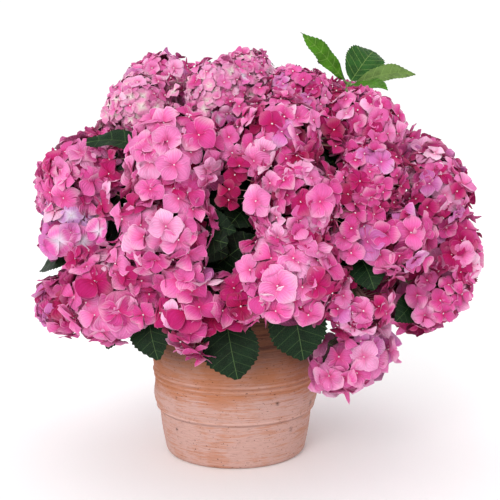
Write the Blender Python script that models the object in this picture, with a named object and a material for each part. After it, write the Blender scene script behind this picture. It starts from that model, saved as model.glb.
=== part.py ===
"""Potted bigleaf hydrangea: a thrown clay pot, its soil, woody canes and a round crown of mophead flowers.

Metres, +Z up. The origin is the middle of the pot's flat underside, and -Y is the side that faces the viewer.
Each flower head is one mass: a three-sided stem, a core, cupped florets and broad leaves, fused together.
Places in the crown are an azimuth (0 towards -Y, 90 towards +X), an elevation and a reach from its middle,
where a reach of 1 lies on the ellipsoid that runs through the middles of the outer flower heads.
"""

import math
import random

import bmesh
import bpy
import numpy as np
from mathutils.bvhtree import BVHTree

GAP = 0.0003                # clearance between pieces that touch
SEED = 23

# Clay pot
POT_SIDES = 36
FOOT_RADIUS = 0.098         # flat underside
FOOT_BEND = 0.010           # rounded edge between underside and wall
RIB_RADIUS = 0.1185         # lower thrown rib
RIB_HEIGHT = 0.068
BAND_RADIUS = 0.1225        # widest ring of the bulging band
BAND_HEIGHT = 0.087
WAIST_RADIUS = 0.1175
WAIST_HEIGHT = 0.105
RIM_RADIUS = 0.1420
RIM_HEIGHT = 0.235
LIP_HEIGHT = 0.016          # the rim's round lip
LIP_STEP = 0.004            # the lip stands this far out of the wall
RIB_EDGE = 0.004            # height over which the rib steps out by half of this
BAND_FOOT = 0.005
WALL = 0.011
FLOOR = 0.014
DRAIN_RADIUS = 0.006
DRAIN_RING = 0.045
DRAINS = 3
DRAIN_SIDES = 8
SOIL_TOP = 0.205
SOIL_CROWN = 0.004          # the soil stands this much higher in the middle
SOIL_FLAT = 0.045           # radius of its level middle
SOIL_GAP = 0.0006           # clearance between the soil and the flat sides of the pot's inside

# Root crown and canes
STUB_SIDES = 10
STUB_RADIUS = 0.028
STUB_TOP_RADIUS = 0.013
STUB_HEIGHT = 0.030
CANE_BASE_RADIUS = 0.0052
CANE_TIP_RADIUS = 0.0036
CANE_SIDES = 6
CANE_RINGS = 5
CANE_SPRING = 0.45          # share of its length that a cane rises square to its seat before it bends
KNUCKLE_RADIUS = 0.0086
KNUCKLE_NECK = 0.85         # the cane ends and its knuckle begins this far before the knuckle's middle
KNUCKLE_RINGS = ((-0.1, 0.95), (0.75, 0.62))    # place past the middle and radius, as shares of its radius
KNUCKLE_LOW = (-8.0, 0.50)      # elevation and reach of the lower cane tips
KNUCKLE_HIGH = (36.0, 0.50)
KNUCKLE_TOP = (88.0, 0.52)

# Crown
CROWN_MIDDLE = np.array([0.030, 0.0, 0.330])
CROWN_HALF = (0.275, 0.245, 0.235, 0.200)   # half-width, half-depth, rise and drop of the ellipsoid
AXIS_ROOT = np.array([0.030, 0.0, 0.270])   # the flower heads face away from this point

# Flower heads
CORE_SHARE = 0.84           # core radius as a share of the head's radius, at its corners
CORE_ROUNDS = 1             # times that the core's ball is subdivided
FLORET_CUP = 0.89           # depth of a floret's middle
FLORET_ROOT = 0.42          # a floret's root, deep in the core
FLORET_HALF = 0.50          # half-diagonal of a floret, as a share of the head's radius
FLORET_WAVE = 0.03          # two opposite sepals lie this much deeper
FLORETS_AT_120 = 9         # florets on a head of 120 mm
COVER_ANGLE = 122.0         # florets reach this far round from the head's top
SPACE_MARGIN = 0.0006       # a head keeps this far inside its own space
CORE_MARGIN = 0.0045
KEEP_SHARE = 0.84           # a floret that its space would squeeze below this share is skipped
STEM_RADIUS = 0.0022
SEAT_STEP = 0.0001          # steps in which a stem's seat is felt for
STEM_LIFT = 0.012
STEM_POINTS = 4
GOLDEN_ANGLE = math.pi * (3.0 - math.sqrt(5.0))

# Leaves
LEAF_WIDTH = 0.60           # of the leaf's length
LEAF_THICK = 0.034
LEAF_FOLD = 0.05
LEAF_DROOP = 0.10
LEAF_ROWS = ((0.34, 0.90, 0.5), (0.68, 0.78, 0.8))  # place along the leaf, width and lift, as shares
LEAF_CLEAR = 0.0024         # a leaf keeps this far from other masses
LEAF_ROOT_DEPTH = 0.45      # roots of the upper leaves, below the head's middle, as a share of its radius
LEAF_LEAN = (-0.10, 0.30)   # how far a leaf leans towards the head's face
LEAF_TURN = 0.3             # how far a leaf strays from its even place round the stem, in radians
LEAF_LENGTH = (0.100, 0.135)
LEAF_TRIES = (1.0, 0.84, 0.70)
LEAF_REACH = 1.16           # a seeded leaf ends inside this reach and above the crown's underside
CROWN_UNDERSIDE = 0.185
LEAVES_PER_HEAD = 3         # a pair under the flower and one further down the stem

# Flower heads in view: name, azimuth, elevation, reach, diameter in mm, colour
HEADS_IN_VIEW = (
    ("head_top_left", -90, 59, 1.00, 124, "mauve"),
    ("head_young_left", -56, 48, 1.02, 104, "young"),
    ("head_top_middle", -25, 82, 0.93, 96, "young"),
    ("head_upper_middle", -19, 57, 0.99, 104, "young"),
    ("head_top_right", 21, 54, 0.99, 102, "magenta"),
    ("head_upper_right", 43, 42, 1.00, 116, "pink"),
    ("head_middle_high", 7, 36, 1.00, 122, "pink"),
    ("head_left_high", -24, 29, 1.00, 140, "rose"),
    ("head_left_upper", -70, 22, 1.00, 124, "magenta"),
    ("head_left_far", -94, 10, 1.06, 104, "magenta"),
    ("head_left_lilac", -70, 2, 1.00, 106, "lilac"),
    ("head_left_middle", -25, 8, 1.00, 132, "rose"),
    ("head_middle_upper", 10, 16, 1.00, 126, "rose"),
    ("head_middle_front", 9, -8, 1.00, 134, "rose"),
    ("head_right_inner", 35, 23, 0.98, 108, "magenta"),
    ("head_right_upper", 67, 17, 1.00, 116, "magenta"),
    ("head_right_far", 76, -6, 1.04, 122, "magenta"),
    ("head_right_mauve", 38, 3, 0.99, 112, "mauve"),
    ("head_right_low", 67, -22, 1.06, 112, "magenta"),
    ("head_left_low_front", -49, -21, 1.01, 128, "magenta"),
    ("head_left_low_far", -73, -25, 1.16, 102, "mauve"),
    ("head_middle_low", -16, -25, 1.00, 124, "pink"),
    ("head_right_tucked", 32, -20, 0.97, 100, "pink"),
    ("head_right_hanging", 46, -51, 1.05, 124, "mauve"),
)

# Rows of flower heads round the back: name, elevation, reach, diameter in mm, azimuths, colours
BACK_ROWS = (
    ("head_back_top", 70, 0.84, 108, (150,), ("pink",)),
    ("head_back_high", 48, 0.99, 124, (130, 184, 240), ("rose", "magenta", "young")),
    ("head_back_upper", 22, 1.00, 130, (101, 137, 173, 209, 245), ("magenta", "pink", "rose", "mauve")),
    ("head_back_middle", -4, 1.02, 130, (108, 143, 178, 213, 248), ("rose", "magenta", "mauve", "pink")),
    ("head_back_low", -29, 1.03, 126, (100, 139, 178, 217, 256), ("pink", "mauve", "magenta", "rose")),
)

# A shoot that has leaves and no flower: azimuth, elevation and reach of its tip
LEAFY_SHOOT = ("leafy_shoot", 80, 62, 1.03)
SHOOT_LEAVES = (
    # azimuth, elevation and reach of the leaf's tip, then its width as a share of its length
    (54, 77, 1.23, 0.50),
    (101, 60, 1.27, 0.66),
    (84, 49, 1.26, 0.52),
    (66, 50, 1.12, 0.60),
    (150, 63, 1.24, 0.66),
)

SHOOT_ROOT_DEPTH = 0.004    # the shoot's leaves spring this far below its tip

# Leaves that show between and under the heads: head, azimuth, elevation and reach of the leaf's tip
LEAVES_IN_VIEW = (
    ("head_left_high", -57, 30, 1.13),
    ("head_middle_low", -6, -45, 1.20),
    ("head_middle_front", 14, -38, 1.15),
    ("head_left_low_front", -34, -42, 1.14),
    ("head_left_low_front", -52, -38, 1.18),
    ("head_left_lilac", -78, -13, 1.17),
    ("head_right_mauve", 31, -16, 1.10),
    ("head_right_low", 52, -32, 1.03),
    ("head_upper_middle", -24, 50, 0.98),
    ("head_left_middle", -6, 7, 0.92),
    ("head_left_middle", -9, -2, 0.86),
    ("head_middle_high", 27, 31, 0.90),
)

# Colours, roughness
CLAY = ("#bb7c69", 0.82)
SOIL = ("#3a2c22", 0.95)
BARK = ("#7a6248", 0.80)
LEAF_GREEN = ("#2f4a28", 0.55)
PETALS = {
    "magenta": ("#bf5185", 0.60),
    "pink": ("#cc6196", 0.60),
    "rose": ("#d0709c", 0.60),
    "mauve": ("#c975a6", 0.60),
    "lilac": ("#bd7fb0", 0.60),
    "young": ("#d08bb0", 0.60),
}


def srgb_to_linear(text):
    """Turns a hex colour into linear red, green, blue and alpha."""
    values = [int(text[i:i + 2], 16) / 255.0 for i in (1, 3, 5)]
    linear = [v / 12.92 if v <= 0.04045 else ((v + 0.055) / 1.055) ** 2.4 for v in values]
    return (*linear, 1.0)


def make_material(name, finish):
    """A Principled surface with the part's colour and roughness."""
    colour, roughness = finish
    material = bpy.data.materials.new(name)
    material.use_nodes = True
    shader = material.node_tree.nodes["Principled BSDF"]
    shader.inputs["Base Color"].default_value = srgb_to_linear(colour)
    shader.inputs["Roughness"].default_value = roughness
    shader.inputs["Metallic"].default_value = 0.0
    material.diffuse_color = srgb_to_linear(colour)
    return material


def shared_material(name, finish):
    """The material of that name, made when it is first asked for."""
    return bpy.data.materials.get(name) or make_material(name, finish)


def clear_scene():
    """Removes every object that the file starts with."""
    for item in list(bpy.data.objects):
        bpy.data.objects.remove(item, do_unlink=True)


def add_object(name, verts, faces, material=None, collection=None):
    """Puts a closed solid into the scene as one named object."""
    mesh = bpy.data.meshes.new(name)
    mesh.from_pydata([tuple(map(float, v)) for v in verts], [], [tuple(f) for f in faces])
    mesh.validate()
    mesh.update()
    item = bpy.data.objects.new(name, mesh)
    (collection or bpy.context.scene.collection).objects.link(item)
    if material is not None:
        mesh.materials.append(material)
    return item


def unit(vector):
    """The vector at length 1."""
    vector = np.asarray(vector, dtype=float)
    return vector / np.linalg.norm(vector)


def side_axes(direction, hint=(0.0, 0.0, 1.0)):
    """Two unit vectors square to a direction, the first as near as it can be to the hint."""
    direction = unit(direction)
    hint = np.asarray(hint, dtype=float)
    first = hint - direction * hint.dot(direction)
    if np.linalg.norm(first) < 1e-3:
        first = np.array([1.0, 0.0, 0.0]) - direction * direction[0]
    first = unit(first)
    return first, np.cross(direction, first)


def crown_point(azimuth, elevation, reach):
    """The place of an azimuth, elevation and reach on the crown's ellipsoid."""
    wide, deep, rise, drop = CROWN_HALF
    a = math.radians(azimuth)
    e = math.radians(elevation)
    height = rise if e > 0 else drop
    level = math.cos(e)
    step = np.array([wide * math.sin(a) * level, -deep * math.cos(a) * level, height * math.sin(e)])
    return CROWN_MIDDLE + reach * step


def turned_solid(profile, sides):
    """Turns an outline of (radius, height) points about Z; a point on the axis becomes one vertex."""
    verts = []
    rings = []
    for radius, height in profile:
        if radius < 1e-9:
            rings.append([len(verts)] * sides)
            verts.append((0.0, 0.0, height))
            continue
        rings.append(list(range(len(verts), len(verts) + sides)))
        for k in range(sides):
            angle = 2.0 * math.pi * k / sides
            verts.append((radius * math.cos(angle), radius * math.sin(angle), height))
    faces = []
    for lower, upper in zip(rings, rings[1:]):
        for k in range(sides):
            n = (k + 1) % sides
            corners = [lower[k], lower[n], upper[n], upper[k]]
            face = list(dict.fromkeys(corners))
            if len(face) > 2:
                faces.append(face)
    return verts, faces


def wall_radius(height):
    """Outer radius of the upper wall, which flares evenly from the waist to the rim."""
    share = (height - WAIST_HEIGHT) / (RIM_HEIGHT - WAIST_HEIGHT)
    return WAIST_RADIUS + (RIM_RADIUS - LIP_STEP - WAIST_RADIUS) * share


def inner_radius(height):
    """Radius of the pot's inside at a height: one flare from floor to waist, one from waist to lip."""
    if height >= WAIST_HEIGHT:
        return wall_radius(height) - WALL
    share = max(0.0, (height - FLOOR) / (WAIST_HEIGHT - FLOOR))
    bottom = FOOT_RADIUS + FOOT_BEND
    return bottom + (WAIST_RADIUS - bottom) * share - WALL


def pot_outline():
    """Underside, rounded foot, lower rib, bulging band, waist, flared wall, rounded lip, inside and floor."""
    points = [(0.0, 0.0), (FOOT_RADIUS, 0.0)]
    for step in (1, 2):
        angle = math.pi / 4.0 * step
        radius = FOOT_RADIUS + FOOT_BEND * math.sin(angle)
        points.append((radius, FOOT_BEND * (1.0 - math.cos(angle))))
    points += [(RIB_RADIUS - RIB_EDGE / 2.0, RIB_HEIGHT - RIB_EDGE), (RIB_RADIUS, RIB_HEIGHT)]
    points += [(BAND_RADIUS, BAND_HEIGHT), (WAIST_RADIUS + RIB_EDGE / 2.0, WAIST_HEIGHT - BAND_FOOT)]
    points += [(WAIST_RADIUS, WAIST_HEIGHT), (WAIST_RADIUS + RIB_EDGE / 2.0, WAIST_HEIGHT + BAND_FOOT)]
    lip_base = RIM_HEIGHT - LIP_HEIGHT
    points.append((wall_radius(lip_base), lip_base))
    round_off = LIP_HEIGHT / 2.0
    for step in range(5):
        angle = math.pi * step / 4.0
        radius = RIM_RADIUS - round_off + round_off * math.cos(angle)
        points.append((radius, lip_base + round_off + round_off * math.sin(angle)))
    points += [(inner_radius(h), h) for h in (lip_base, WAIST_HEIGHT, FLOOR)]
    points.append((0.0, FLOOR))
    return points


def build_pot():
    """The turned pot, with drain holes bored through its floor."""
    verts, faces = turned_solid(pot_outline(), POT_SIDES)
    pot = add_object("pot", verts, faces, make_material("terracotta", CLAY))
    bores = bpy.data.collections.new("drain_bores")
    bpy.context.scene.collection.children.link(bores)
    for k in range(DRAINS):
        angle = 2.0 * math.pi * (k + 0.5) / DRAINS
        low, high = -FLOOR / 2.0, FLOOR * 1.5
        outline = ((0.0, low), (DRAIN_RADIUS, low), (DRAIN_RADIUS, high), (0.0, high))
        bore, sides = turned_solid(outline, DRAIN_SIDES)
        shift = np.array([DRAIN_RING * math.cos(angle), DRAIN_RING * math.sin(angle), 0.0])
        add_object(f"bore_{k}", [np.array(v) + shift for v in bore], sides, None, bores)
    apply_boolean(pot, bores, "DIFFERENCE")
    return pot


def build_soil():
    """The potting soil, a hair clear of the pot's inside, a little higher in the middle."""
    outline = [(0.0, FLOOR + GAP)]
    for height in (FLOOR + GAP, WAIST_HEIGHT, SOIL_TOP):
        outline.append((inner_radius(height) - SOIL_GAP, height))
    outline += [(SOIL_FLAT, SOIL_TOP + SOIL_CROWN), (0.0, SOIL_TOP + SOIL_CROWN)]
    verts, faces = turned_solid(outline, POT_SIDES)
    return add_object("soil", verts, faces, make_material("potting_soil", SOIL))


def build_root_crown():
    """The short woody stub on the soil, with one flat side for each outer cane and a flat top."""
    base = SOIL_TOP + SOIL_CROWN + GAP
    top = base + STUB_HEIGHT
    outline = ((0.0, base), (STUB_RADIUS, base), (STUB_TOP_RADIUS, top), (0.0, top))
    verts, faces = turned_solid(outline, STUB_SIDES)
    return add_object("root_crown", verts, faces, make_material("root_bark", BARK))


def stub_seat(index):
    """Middle and outward direction of the stub's flat side of that number."""
    angle = 2.0 * math.pi * (index + 0.5) / STUB_SIDES
    inner = math.cos(math.pi / STUB_SIDES)
    run = (STUB_RADIUS - STUB_TOP_RADIUS) * inner
    slope = unit((STUB_HEIGHT * math.cos(angle), STUB_HEIGHT * math.sin(angle), run))
    radius = (STUB_RADIUS + STUB_TOP_RADIUS) / 2.0 * inner
    height = SOIL_TOP + SOIL_CROWN + GAP + STUB_HEIGHT / 2.0
    return np.array([radius * math.cos(angle), radius * math.sin(angle), height]), slope


def curve_points(start, control, end, count):
    """Points along a quadratic curve that leaves start towards control and ends at end."""
    t = np.linspace(0.0, 1.0, count)[:, None]
    return (1 - t) ** 2 * start + 2 * t * (1 - t) * control + t ** 2 * end


def tube_solid(points, radii, sides, square_start=None):
    """A closed tube of rings square to its path; its first ring is square to square_start."""
    verts = []
    first = None
    count = len(points)
    for k, point in enumerate(points):
        ahead = points[min(k + 1, count - 1)] - points[max(k - 1, 0)]
        if k == 0 and square_start is not None:
            ahead = square_start
        first, second = side_axes(ahead, (0.0, 0.0, 1.0) if first is None else first)
        for s in range(sides):
            angle = 2.0 * math.pi * s / sides
            verts.append(point + radii[k] * (first * math.cos(angle) + second * math.sin(angle)))
    faces = [list(range(sides))[::-1], list(range((count - 1) * sides, count * sides))]
    for k in range(count - 1):
        for s in range(sides):
            n = (s + 1) % sides
            faces.append([k * sides + s, k * sides + n, (k + 1) * sides + n, (k + 1) * sides + s])
    return verts, faces


def cane_places():
    """Name, seat, its direction and knuckle of each cane: ten round the stub by turns low and high, one on top."""
    places = []
    for k in range(STUB_SIDES):
        seat, slope = stub_seat(k)
        azimuth = math.degrees(math.atan2(seat[0], -seat[1]))
        level, name = (KNUCKLE_LOW, "low") if k % 2 == 0 else (KNUCKLE_HIGH, "high")
        places.append((f"cane_{name}_{k // 2 + 1}", seat, slope, crown_point(azimuth, *level)))
    top = np.array([0.0, 0.0, SOIL_TOP + SOIL_CROWN + GAP + STUB_HEIGHT])
    places.append(("cane_top", top, np.array([0.0, 0.0, 1.0]), crown_point(0.0, *KNUCKLE_TOP)))
    return places


def build_cane(place, material):
    """One tapering cane from its seat on the stub to the rounded knuckle where its shoots spring."""
    name, seat, slope, knuckle = place
    start = seat + slope * GAP
    control = start + slope * np.linalg.norm(knuckle - start) * CANE_SPRING
    points = list(curve_points(start, control, knuckle, CANE_RINGS))
    heading = unit(points[-1] - points[-2])
    points[-1] = knuckle - heading * KNUCKLE_RADIUS * KNUCKLE_NECK
    radii = list(np.linspace(CANE_BASE_RADIUS, CANE_TIP_RADIUS, CANE_RINGS))
    for along, radius in KNUCKLE_RINGS:
        points.append(knuckle + heading * KNUCKLE_RADIUS * along)
        radii.append(KNUCKLE_RADIUS * radius)
    verts, faces = tube_solid(points, radii, CANE_SIDES, slope)
    return add_object(name, verts, faces, material)


def head_places():
    """Every flower head as a dictionary: the ones in view, then the rows round the back."""
    heads = []
    for name, azimuth, elevation, reach, diameter, colour in HEADS_IN_VIEW:
        heads.append(make_head(name, azimuth, elevation, reach, diameter, colour))
    for row, elevation, reach, diameter, azimuths, colours in BACK_ROWS:
        for k, azimuth in enumerate(azimuths):
            colour = colours[k % len(colours)]
            heads.append(make_head(f"{row}_{k + 1}", azimuth, elevation, reach, diameter, colour))
    return heads


def make_head(name, azimuth, elevation, reach, diameter, colour):
    """Middle, radius and facing direction of one flower head."""
    middle = crown_point(azimuth, elevation, reach)
    return {"name": name, "middle": middle, "radius": diameter / 2000.0, "colour": colour,
            "axis": unit(middle - AXIS_ROOT)}


def head_planes(head, heads):
    """The flat bounds between a head and its neighbours, as directions and distances from its middle."""
    planes = []
    for other in heads:
        if other is head:
            continue
        step = other["middle"] - head["middle"]
        apart = np.linalg.norm(step)
        if apart < head["radius"] + other["radius"] + 2.0 * SPACE_MARGIN:
            share = (apart ** 2 + head["radius"] ** 2 - other["radius"] ** 2) / (2.0 * apart)
            planes.append((step / apart, share))
    return planes


def squeeze(offset, planes, margin):
    """The share of an offset from the head's middle that still lies inside all its bounds."""
    share = 1.0
    for direction, distance in planes:
        along = float(np.dot(offset, direction))
        if along > 1e-9:
            share = min(share, (distance - margin) / along)
    return share


def core_solid(head, planes):
    """The dense middle of a flower head: a coarse ball, flattened where a neighbour presses on it."""
    ball = bmesh.new()
    bmesh.ops.create_icosphere(ball, subdivisions=CORE_ROUNDS, radius=1.0)
    turn = np.array(side_axes(head["axis"]) + (head["axis"],))
    verts = []
    for vert in ball.verts:
        offset = np.array(vert.co) @ turn * head["radius"] * CORE_SHARE
        verts.append(head["middle"] + offset * squeeze(offset, planes, CORE_MARGIN))
    faces = [[v.index for v in face.verts] for face in ball.faces]
    ball.free()
    return verts, faces


def floret_directions(head, count, draw):
    """Directions of a head's florets, on a spiral of even steps from its top to below its widest ring."""
    first, second = side_axes(head["axis"])
    phase = draw.uniform(0.0, 2.0 * math.pi)
    lowest = math.cos(math.radians(COVER_ANGLE))
    directions = []
    for k in range(count):
        rise = 1.0 - (k + 0.5) / count * (1.0 - lowest)
        ring = math.sqrt(max(0.0, 1.0 - rise * rise))
        angle = phase + k * GOLDEN_ANGLE
        directions.append(head["axis"] * rise + ring * (first * math.cos(angle) + second * math.sin(angle)))
    return directions


def floret_solid(head, direction, planes, draw):
    """One cupped floret of eight faces: four sepal tips, a sunk middle and a root in the core, or None."""
    first, second = side_axes(direction)
    turn = draw.uniform(0.0, math.pi / 2.0)
    radius = head["radius"]
    if squeeze(direction * radius, planes, SPACE_MARGIN) < KEEP_SHARE:
        return None
    verts = []
    for k in range(4):
        angle = turn + k * math.pi / 2.0
        tangent = first * math.cos(angle) + second * math.sin(angle)
        tip = unit(direction + tangent * math.tan(FLORET_HALF)) * radius * (1.0 - FLORET_WAVE * (k % 2))
        verts.append(head["middle"] + tip * squeeze(tip, planes, SPACE_MARGIN))
    cup = direction * radius * FLORET_CUP
    verts.append(head["middle"] + cup * min(1.0, squeeze(cup, planes, SPACE_MARGIN * 3.0)))
    verts.append(head["middle"] + direction * radius * FLORET_ROOT)
    faces = []
    for k in range(4):
        n = (k + 1) % 4
        faces.append([k, n, 4])
        faces.append([n, k, 5])
    return verts, faces


def seat_distance(cane, heading):
    """How far from the knuckle's middle a stem starts: a feeler of its section is drawn out until it is clear."""
    reach = KNUCKLE_RADIUS / 2.0
    while True:
        ends = [cane["knuckle"] + heading * reach, cane["knuckle"] + heading * (reach + KNUCKLE_RADIUS)]
        feeler = tree_of(*tube_solid(ends, [STEM_RADIUS] * 2, 3, heading))
        if not cane["tree"].overlap(feeler):
            return reach + GAP
        reach += SEAT_STEP


def stem_ends(cane, end):
    """Start, control point and end of a stem, which starts a hair off the knuckle and rises on its way."""
    heading = unit(end - cane["knuckle"])
    start = cane["knuckle"] + heading * seat_distance(cane, heading)
    return start, (start + end) / 2.0 + np.array([0.0, 0.0, STEM_LIFT]), end


def stem_solid(ends):
    """A three-sided stem along its curve."""
    points = curve_points(*ends, STEM_POINTS)
    return tube_solid(list(points), [STEM_RADIUS] * STEM_POINTS, 3, ends[2] - ends[0])


def leaf_solid(root, tip, outward, width):
    """A broad leaf of twelve faces, folded along its midrib, with its root narrow and its tip bent down."""
    along = tip - root
    length = np.linalg.norm(along)
    forward = along / length
    up, side = side_axes(forward, outward)
    half = width * length / 2.0
    verts = [root]
    for share, spread, bow in LEAF_ROWS:
        verts.append(root + along * share + side * half * spread + up * length * LEAF_DROOP * bow)
    verts.append(tip)
    for share, spread, bow in reversed(LEAF_ROWS):
        verts.append(root + along * share - side * half * spread + up * length * LEAF_DROOP * bow)
    middle = root + along * 0.5 + up * length * (LEAF_DROOP - LEAF_FOLD)
    verts += [middle, middle - up * length * LEAF_THICK]
    faces = []
    for k in range(6):
        n = (k + 1) % 6
        faces.append([n, k, 6])
        faces.append([k, n, 7])
    return verts, faces


def tree_of(verts, faces):
    """A search tree of a solid's faces, for finding whether two solids touch."""
    return BVHTree.FromPolygons([tuple(map(float, v)) for v in verts], [tuple(f) for f in faces])


def tree_of_object(item):
    """A search tree of an object's faces."""
    return tree_of([v.co for v in item.data.vertices], [list(f.vertices) for f in item.data.polygons])


def swelled(solid):
    """The solid, grown from its middle by the clearance that a leaf keeps."""
    verts, faces = solid
    points = np.array(verts)
    middle = points.mean(axis=0)
    offsets = points - middle
    lengths = np.linalg.norm(offsets, axis=1)[:, None]
    return list(middle + offsets * (1.0 + LEAF_CLEAR / lengths)), faces


def leaf_fits(leaf, own_name, solids, fixed):
    """True if a leaf touches no other mass, cane, pot or soil."""
    tree = tree_of(*swelled(leaf))
    for other in fixed:
        if tree.overlap(other):
            return False
    for name, trees in solids.items():
        if name == own_name:
            continue
        for other in trees:
            if tree.overlap(other):
                return False
    return True


def reach_of(point):
    """The reach of a point: 1 on the crown's ellipsoid, more outside it."""
    step = point - CROWN_MIDDLE
    wide, deep, rise, drop = CROWN_HALF
    return float(np.linalg.norm(step / np.array([wide, deep, rise if step[2] > 0 else drop])))


def head_leaves(head, draw):
    """Root, tip and outward direction of a head's leaves: those in view, then those of the seeded rule."""
    under = head["middle"] - head["axis"] * head["radius"] * LEAF_ROOT_DEPTH
    wanted = []
    for name, azimuth, elevation, reach in LEAVES_IN_VIEW:
        if name == head["name"]:
            wanted.append((under, crown_point(azimuth, elevation, reach), head["axis"]))
    first, second = side_axes(head["axis"])
    angle = draw.uniform(0.0, math.pi)
    lower = curve_points(*head["stem"], 5)[1]
    for k in range(LEAVES_PER_HEAD):
        turn = angle + k * math.pi + draw.uniform(-LEAF_TURN, LEAF_TURN)
        lean = draw.uniform(*LEAF_LEAN)
        root = under
        if k > 1:
            root = lower
            turn += math.pi / 2.0
        spread = first * math.cos(turn) + second * math.sin(turn)
        tip = root + unit(spread + head["axis"] * lean) * draw.uniform(*LEAF_LENGTH)
        if reach_of(tip) < LEAF_REACH and tip[2] > CROWN_UNDERSIDE:
            wanted.append((root, tip, head["axis"]))
    return wanted


def add_leaves(name, wanted, solids, fixed, width=None):
    """The leaves of one mass that find room, each tried at its full length and then shorter."""
    kept = []
    for number, (root, tip, outward) in enumerate(wanted):
        share_of_width = LEAF_WIDTH if width is None else width[number]
        for share in LEAF_TRIES:
            leaf = leaf_solid(root, root + (tip - root) * share, outward, share_of_width)
            if leaf_fits(leaf, name, solids, fixed):
                kept.append(("green", leaf))
                solids[name].append(tree_of(*leaf))
                break
    return kept


def apply_boolean(item, group, operation):
    """Joins or cuts an object with a collection's objects, applies the result and removes the collection."""
    for solver in ("EXACT", "MANIFOLD"):
        modifier = item.modifiers.new("join", "BOOLEAN")
        modifier.operation = operation
        modifier.operand_type = "COLLECTION"
        modifier.collection = group
        modifier.solver = solver
        modifier.material_mode = "TRANSFER"
        bpy.context.view_layer.update()
        graph = bpy.context.evaluated_depsgraph_get()
        result = bpy.data.meshes.new_from_object(item.evaluated_get(graph), depsgraph=graph)
        item.modifiers.remove(modifier)
        if keep_main_shell(result):
            break
    old = item.data
    item.data = result
    result.name = item.name
    bpy.data.meshes.remove(old)
    for part in list(group.objects):
        bpy.data.objects.remove(part, do_unlink=True)
    bpy.data.collections.remove(group)


def keep_main_shell(mesh):
    """Triangulates a mesh, keeps its largest shell and says whether that shell is closed."""
    shell = bmesh.new()
    shell.from_mesh(mesh)
    bmesh.ops.triangulate(shell, faces=shell.faces[:])
    bmesh.ops.dissolve_degenerate(shell, dist=1e-6, edges=shell.edges[:])
    left = set(shell.faces)
    groups = []
    while left:
        stack = [left.pop()]
        group = []
        while stack:
            face = stack.pop()
            group.append(face)
            for edge in face.edges:
                for near in edge.link_faces:
                    if near in left:
                        left.remove(near)
                        stack.append(near)
        groups.append(group)
    groups.sort(key=len, reverse=True)
    loose = [face for group in groups[1:] for face in group]
    bmesh.ops.delete(shell, geom=loose, context="FACES")
    bmesh.ops.triangulate(shell, faces=shell.faces[:])
    closed = bool(shell.faces) and all(len(edge.link_faces) == 2 for edge in shell.edges)
    shell.to_mesh(mesh)
    shell.free()
    return closed


def fuse_mass(name, parts, petal):
    """Joins the pieces of one mass, (kind, solid) each, into a single closed solid of one or two finishes."""
    green = shared_material("leaf", LEAF_GREEN)
    group = bpy.data.collections.new(name + "_parts")
    bpy.context.scene.collection.children.link(group)
    finishes = {"petal": petal, "green": green}
    kind, solid = parts[0]
    body = add_object(name, *solid, finishes[kind])
    for k, (kind, solid) in enumerate(parts[1:]):
        add_object(f"{name}_{k}", *solid, finishes[kind], group)
    apply_boolean(body, group, "UNION")
    return body


def nearest_cane(point, canes):
    """The cane whose knuckle lies nearest to a point."""
    return min(canes, key=lambda cane: np.linalg.norm(cane["knuckle"] - point))


def build_heads(canes, fixed, draw):
    """All flower heads and the leafy shoot: stems, cores and florets, then the leaves that find room."""
    heads = head_places()
    parts = {}
    for head in heads:
        planes = head_planes(head, heads)
        count = round(FLORETS_AT_120 * (head["radius"] / 0.060) ** 1.4)
        head["stem"] = stem_ends(nearest_cane(head["middle"], canes), head["middle"])
        florets = [floret_solid(head, d, planes, draw) for d in floret_directions(head, count, draw)]
        pieces = [("petal", core_solid(head, planes)), ("green", stem_solid(head["stem"]))]
        parts[head["name"]] = pieces + [("petal", floret) for floret in florets if floret is not None]
    shoot, azimuth, elevation, reach = LEAFY_SHOOT
    tip = crown_point(azimuth, elevation, reach)
    parts[shoot] = [("green", stem_solid(stem_ends(nearest_cane(tip, canes), tip)))]
    solids = {name: [tree_of(*solid) for kind, solid in pieces] for name, pieces in parts.items()}
    check_stems(solids, fixed)
    under_tip = tip - np.array([0.0, 0.0, SHOOT_ROOT_DEPTH])
    wanted = [(under_tip, crown_point(*place[:3]), (0.0, -0.5, 1.0)) for place in SHOOT_LEAVES]
    parts[shoot] += add_leaves(shoot, wanted, solids, fixed, [place[3] for place in SHOOT_LEAVES])
    for head in heads:
        wanted = head_leaves(head, draw)
        parts[head["name"]] += add_leaves(head["name"], wanted, solids, fixed)
    for head in heads:
        petal = shared_material("petals_" + head["colour"], PETALS[head["colour"]])
        fuse_mass(head["name"], parts[head["name"]], petal)
    fuse_mass(shoot, parts[shoot], None)


def check_stems(solids, fixed):
    """Stops the build with a plain message if a stem touches another mass or a cane."""
    faults = []
    for name, trees in solids.items():
        stem = trees[0] if name == LEAFY_SHOOT[0] else trees[1]
        for other in solids:
            if other != name and any(stem.overlap(tree) for tree in solids[other]):
                faults.append(f"{name} meets {other}")
        if any(stem.overlap(tree) for tree in fixed):
            faults.append(f"{name} meets a cane, the pot or the soil")
    if faults:
        raise RuntimeError("; ".join(faults))


def main():
    clear_scene()
    draw = random.Random(SEED)
    bark = make_material("cane_bark", BARK)
    canes = []
    for place in cane_places():
        canes.append({"knuckle": place[3], "tree": tree_of_object(build_cane(place, bark))})
    fixed = [tree_of_object(item) for item in (build_pot(), build_soil(), build_root_crown())]
    fixed += [cane["tree"] for cane in canes]
    build_heads(canes, fixed, draw)


main()
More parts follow.
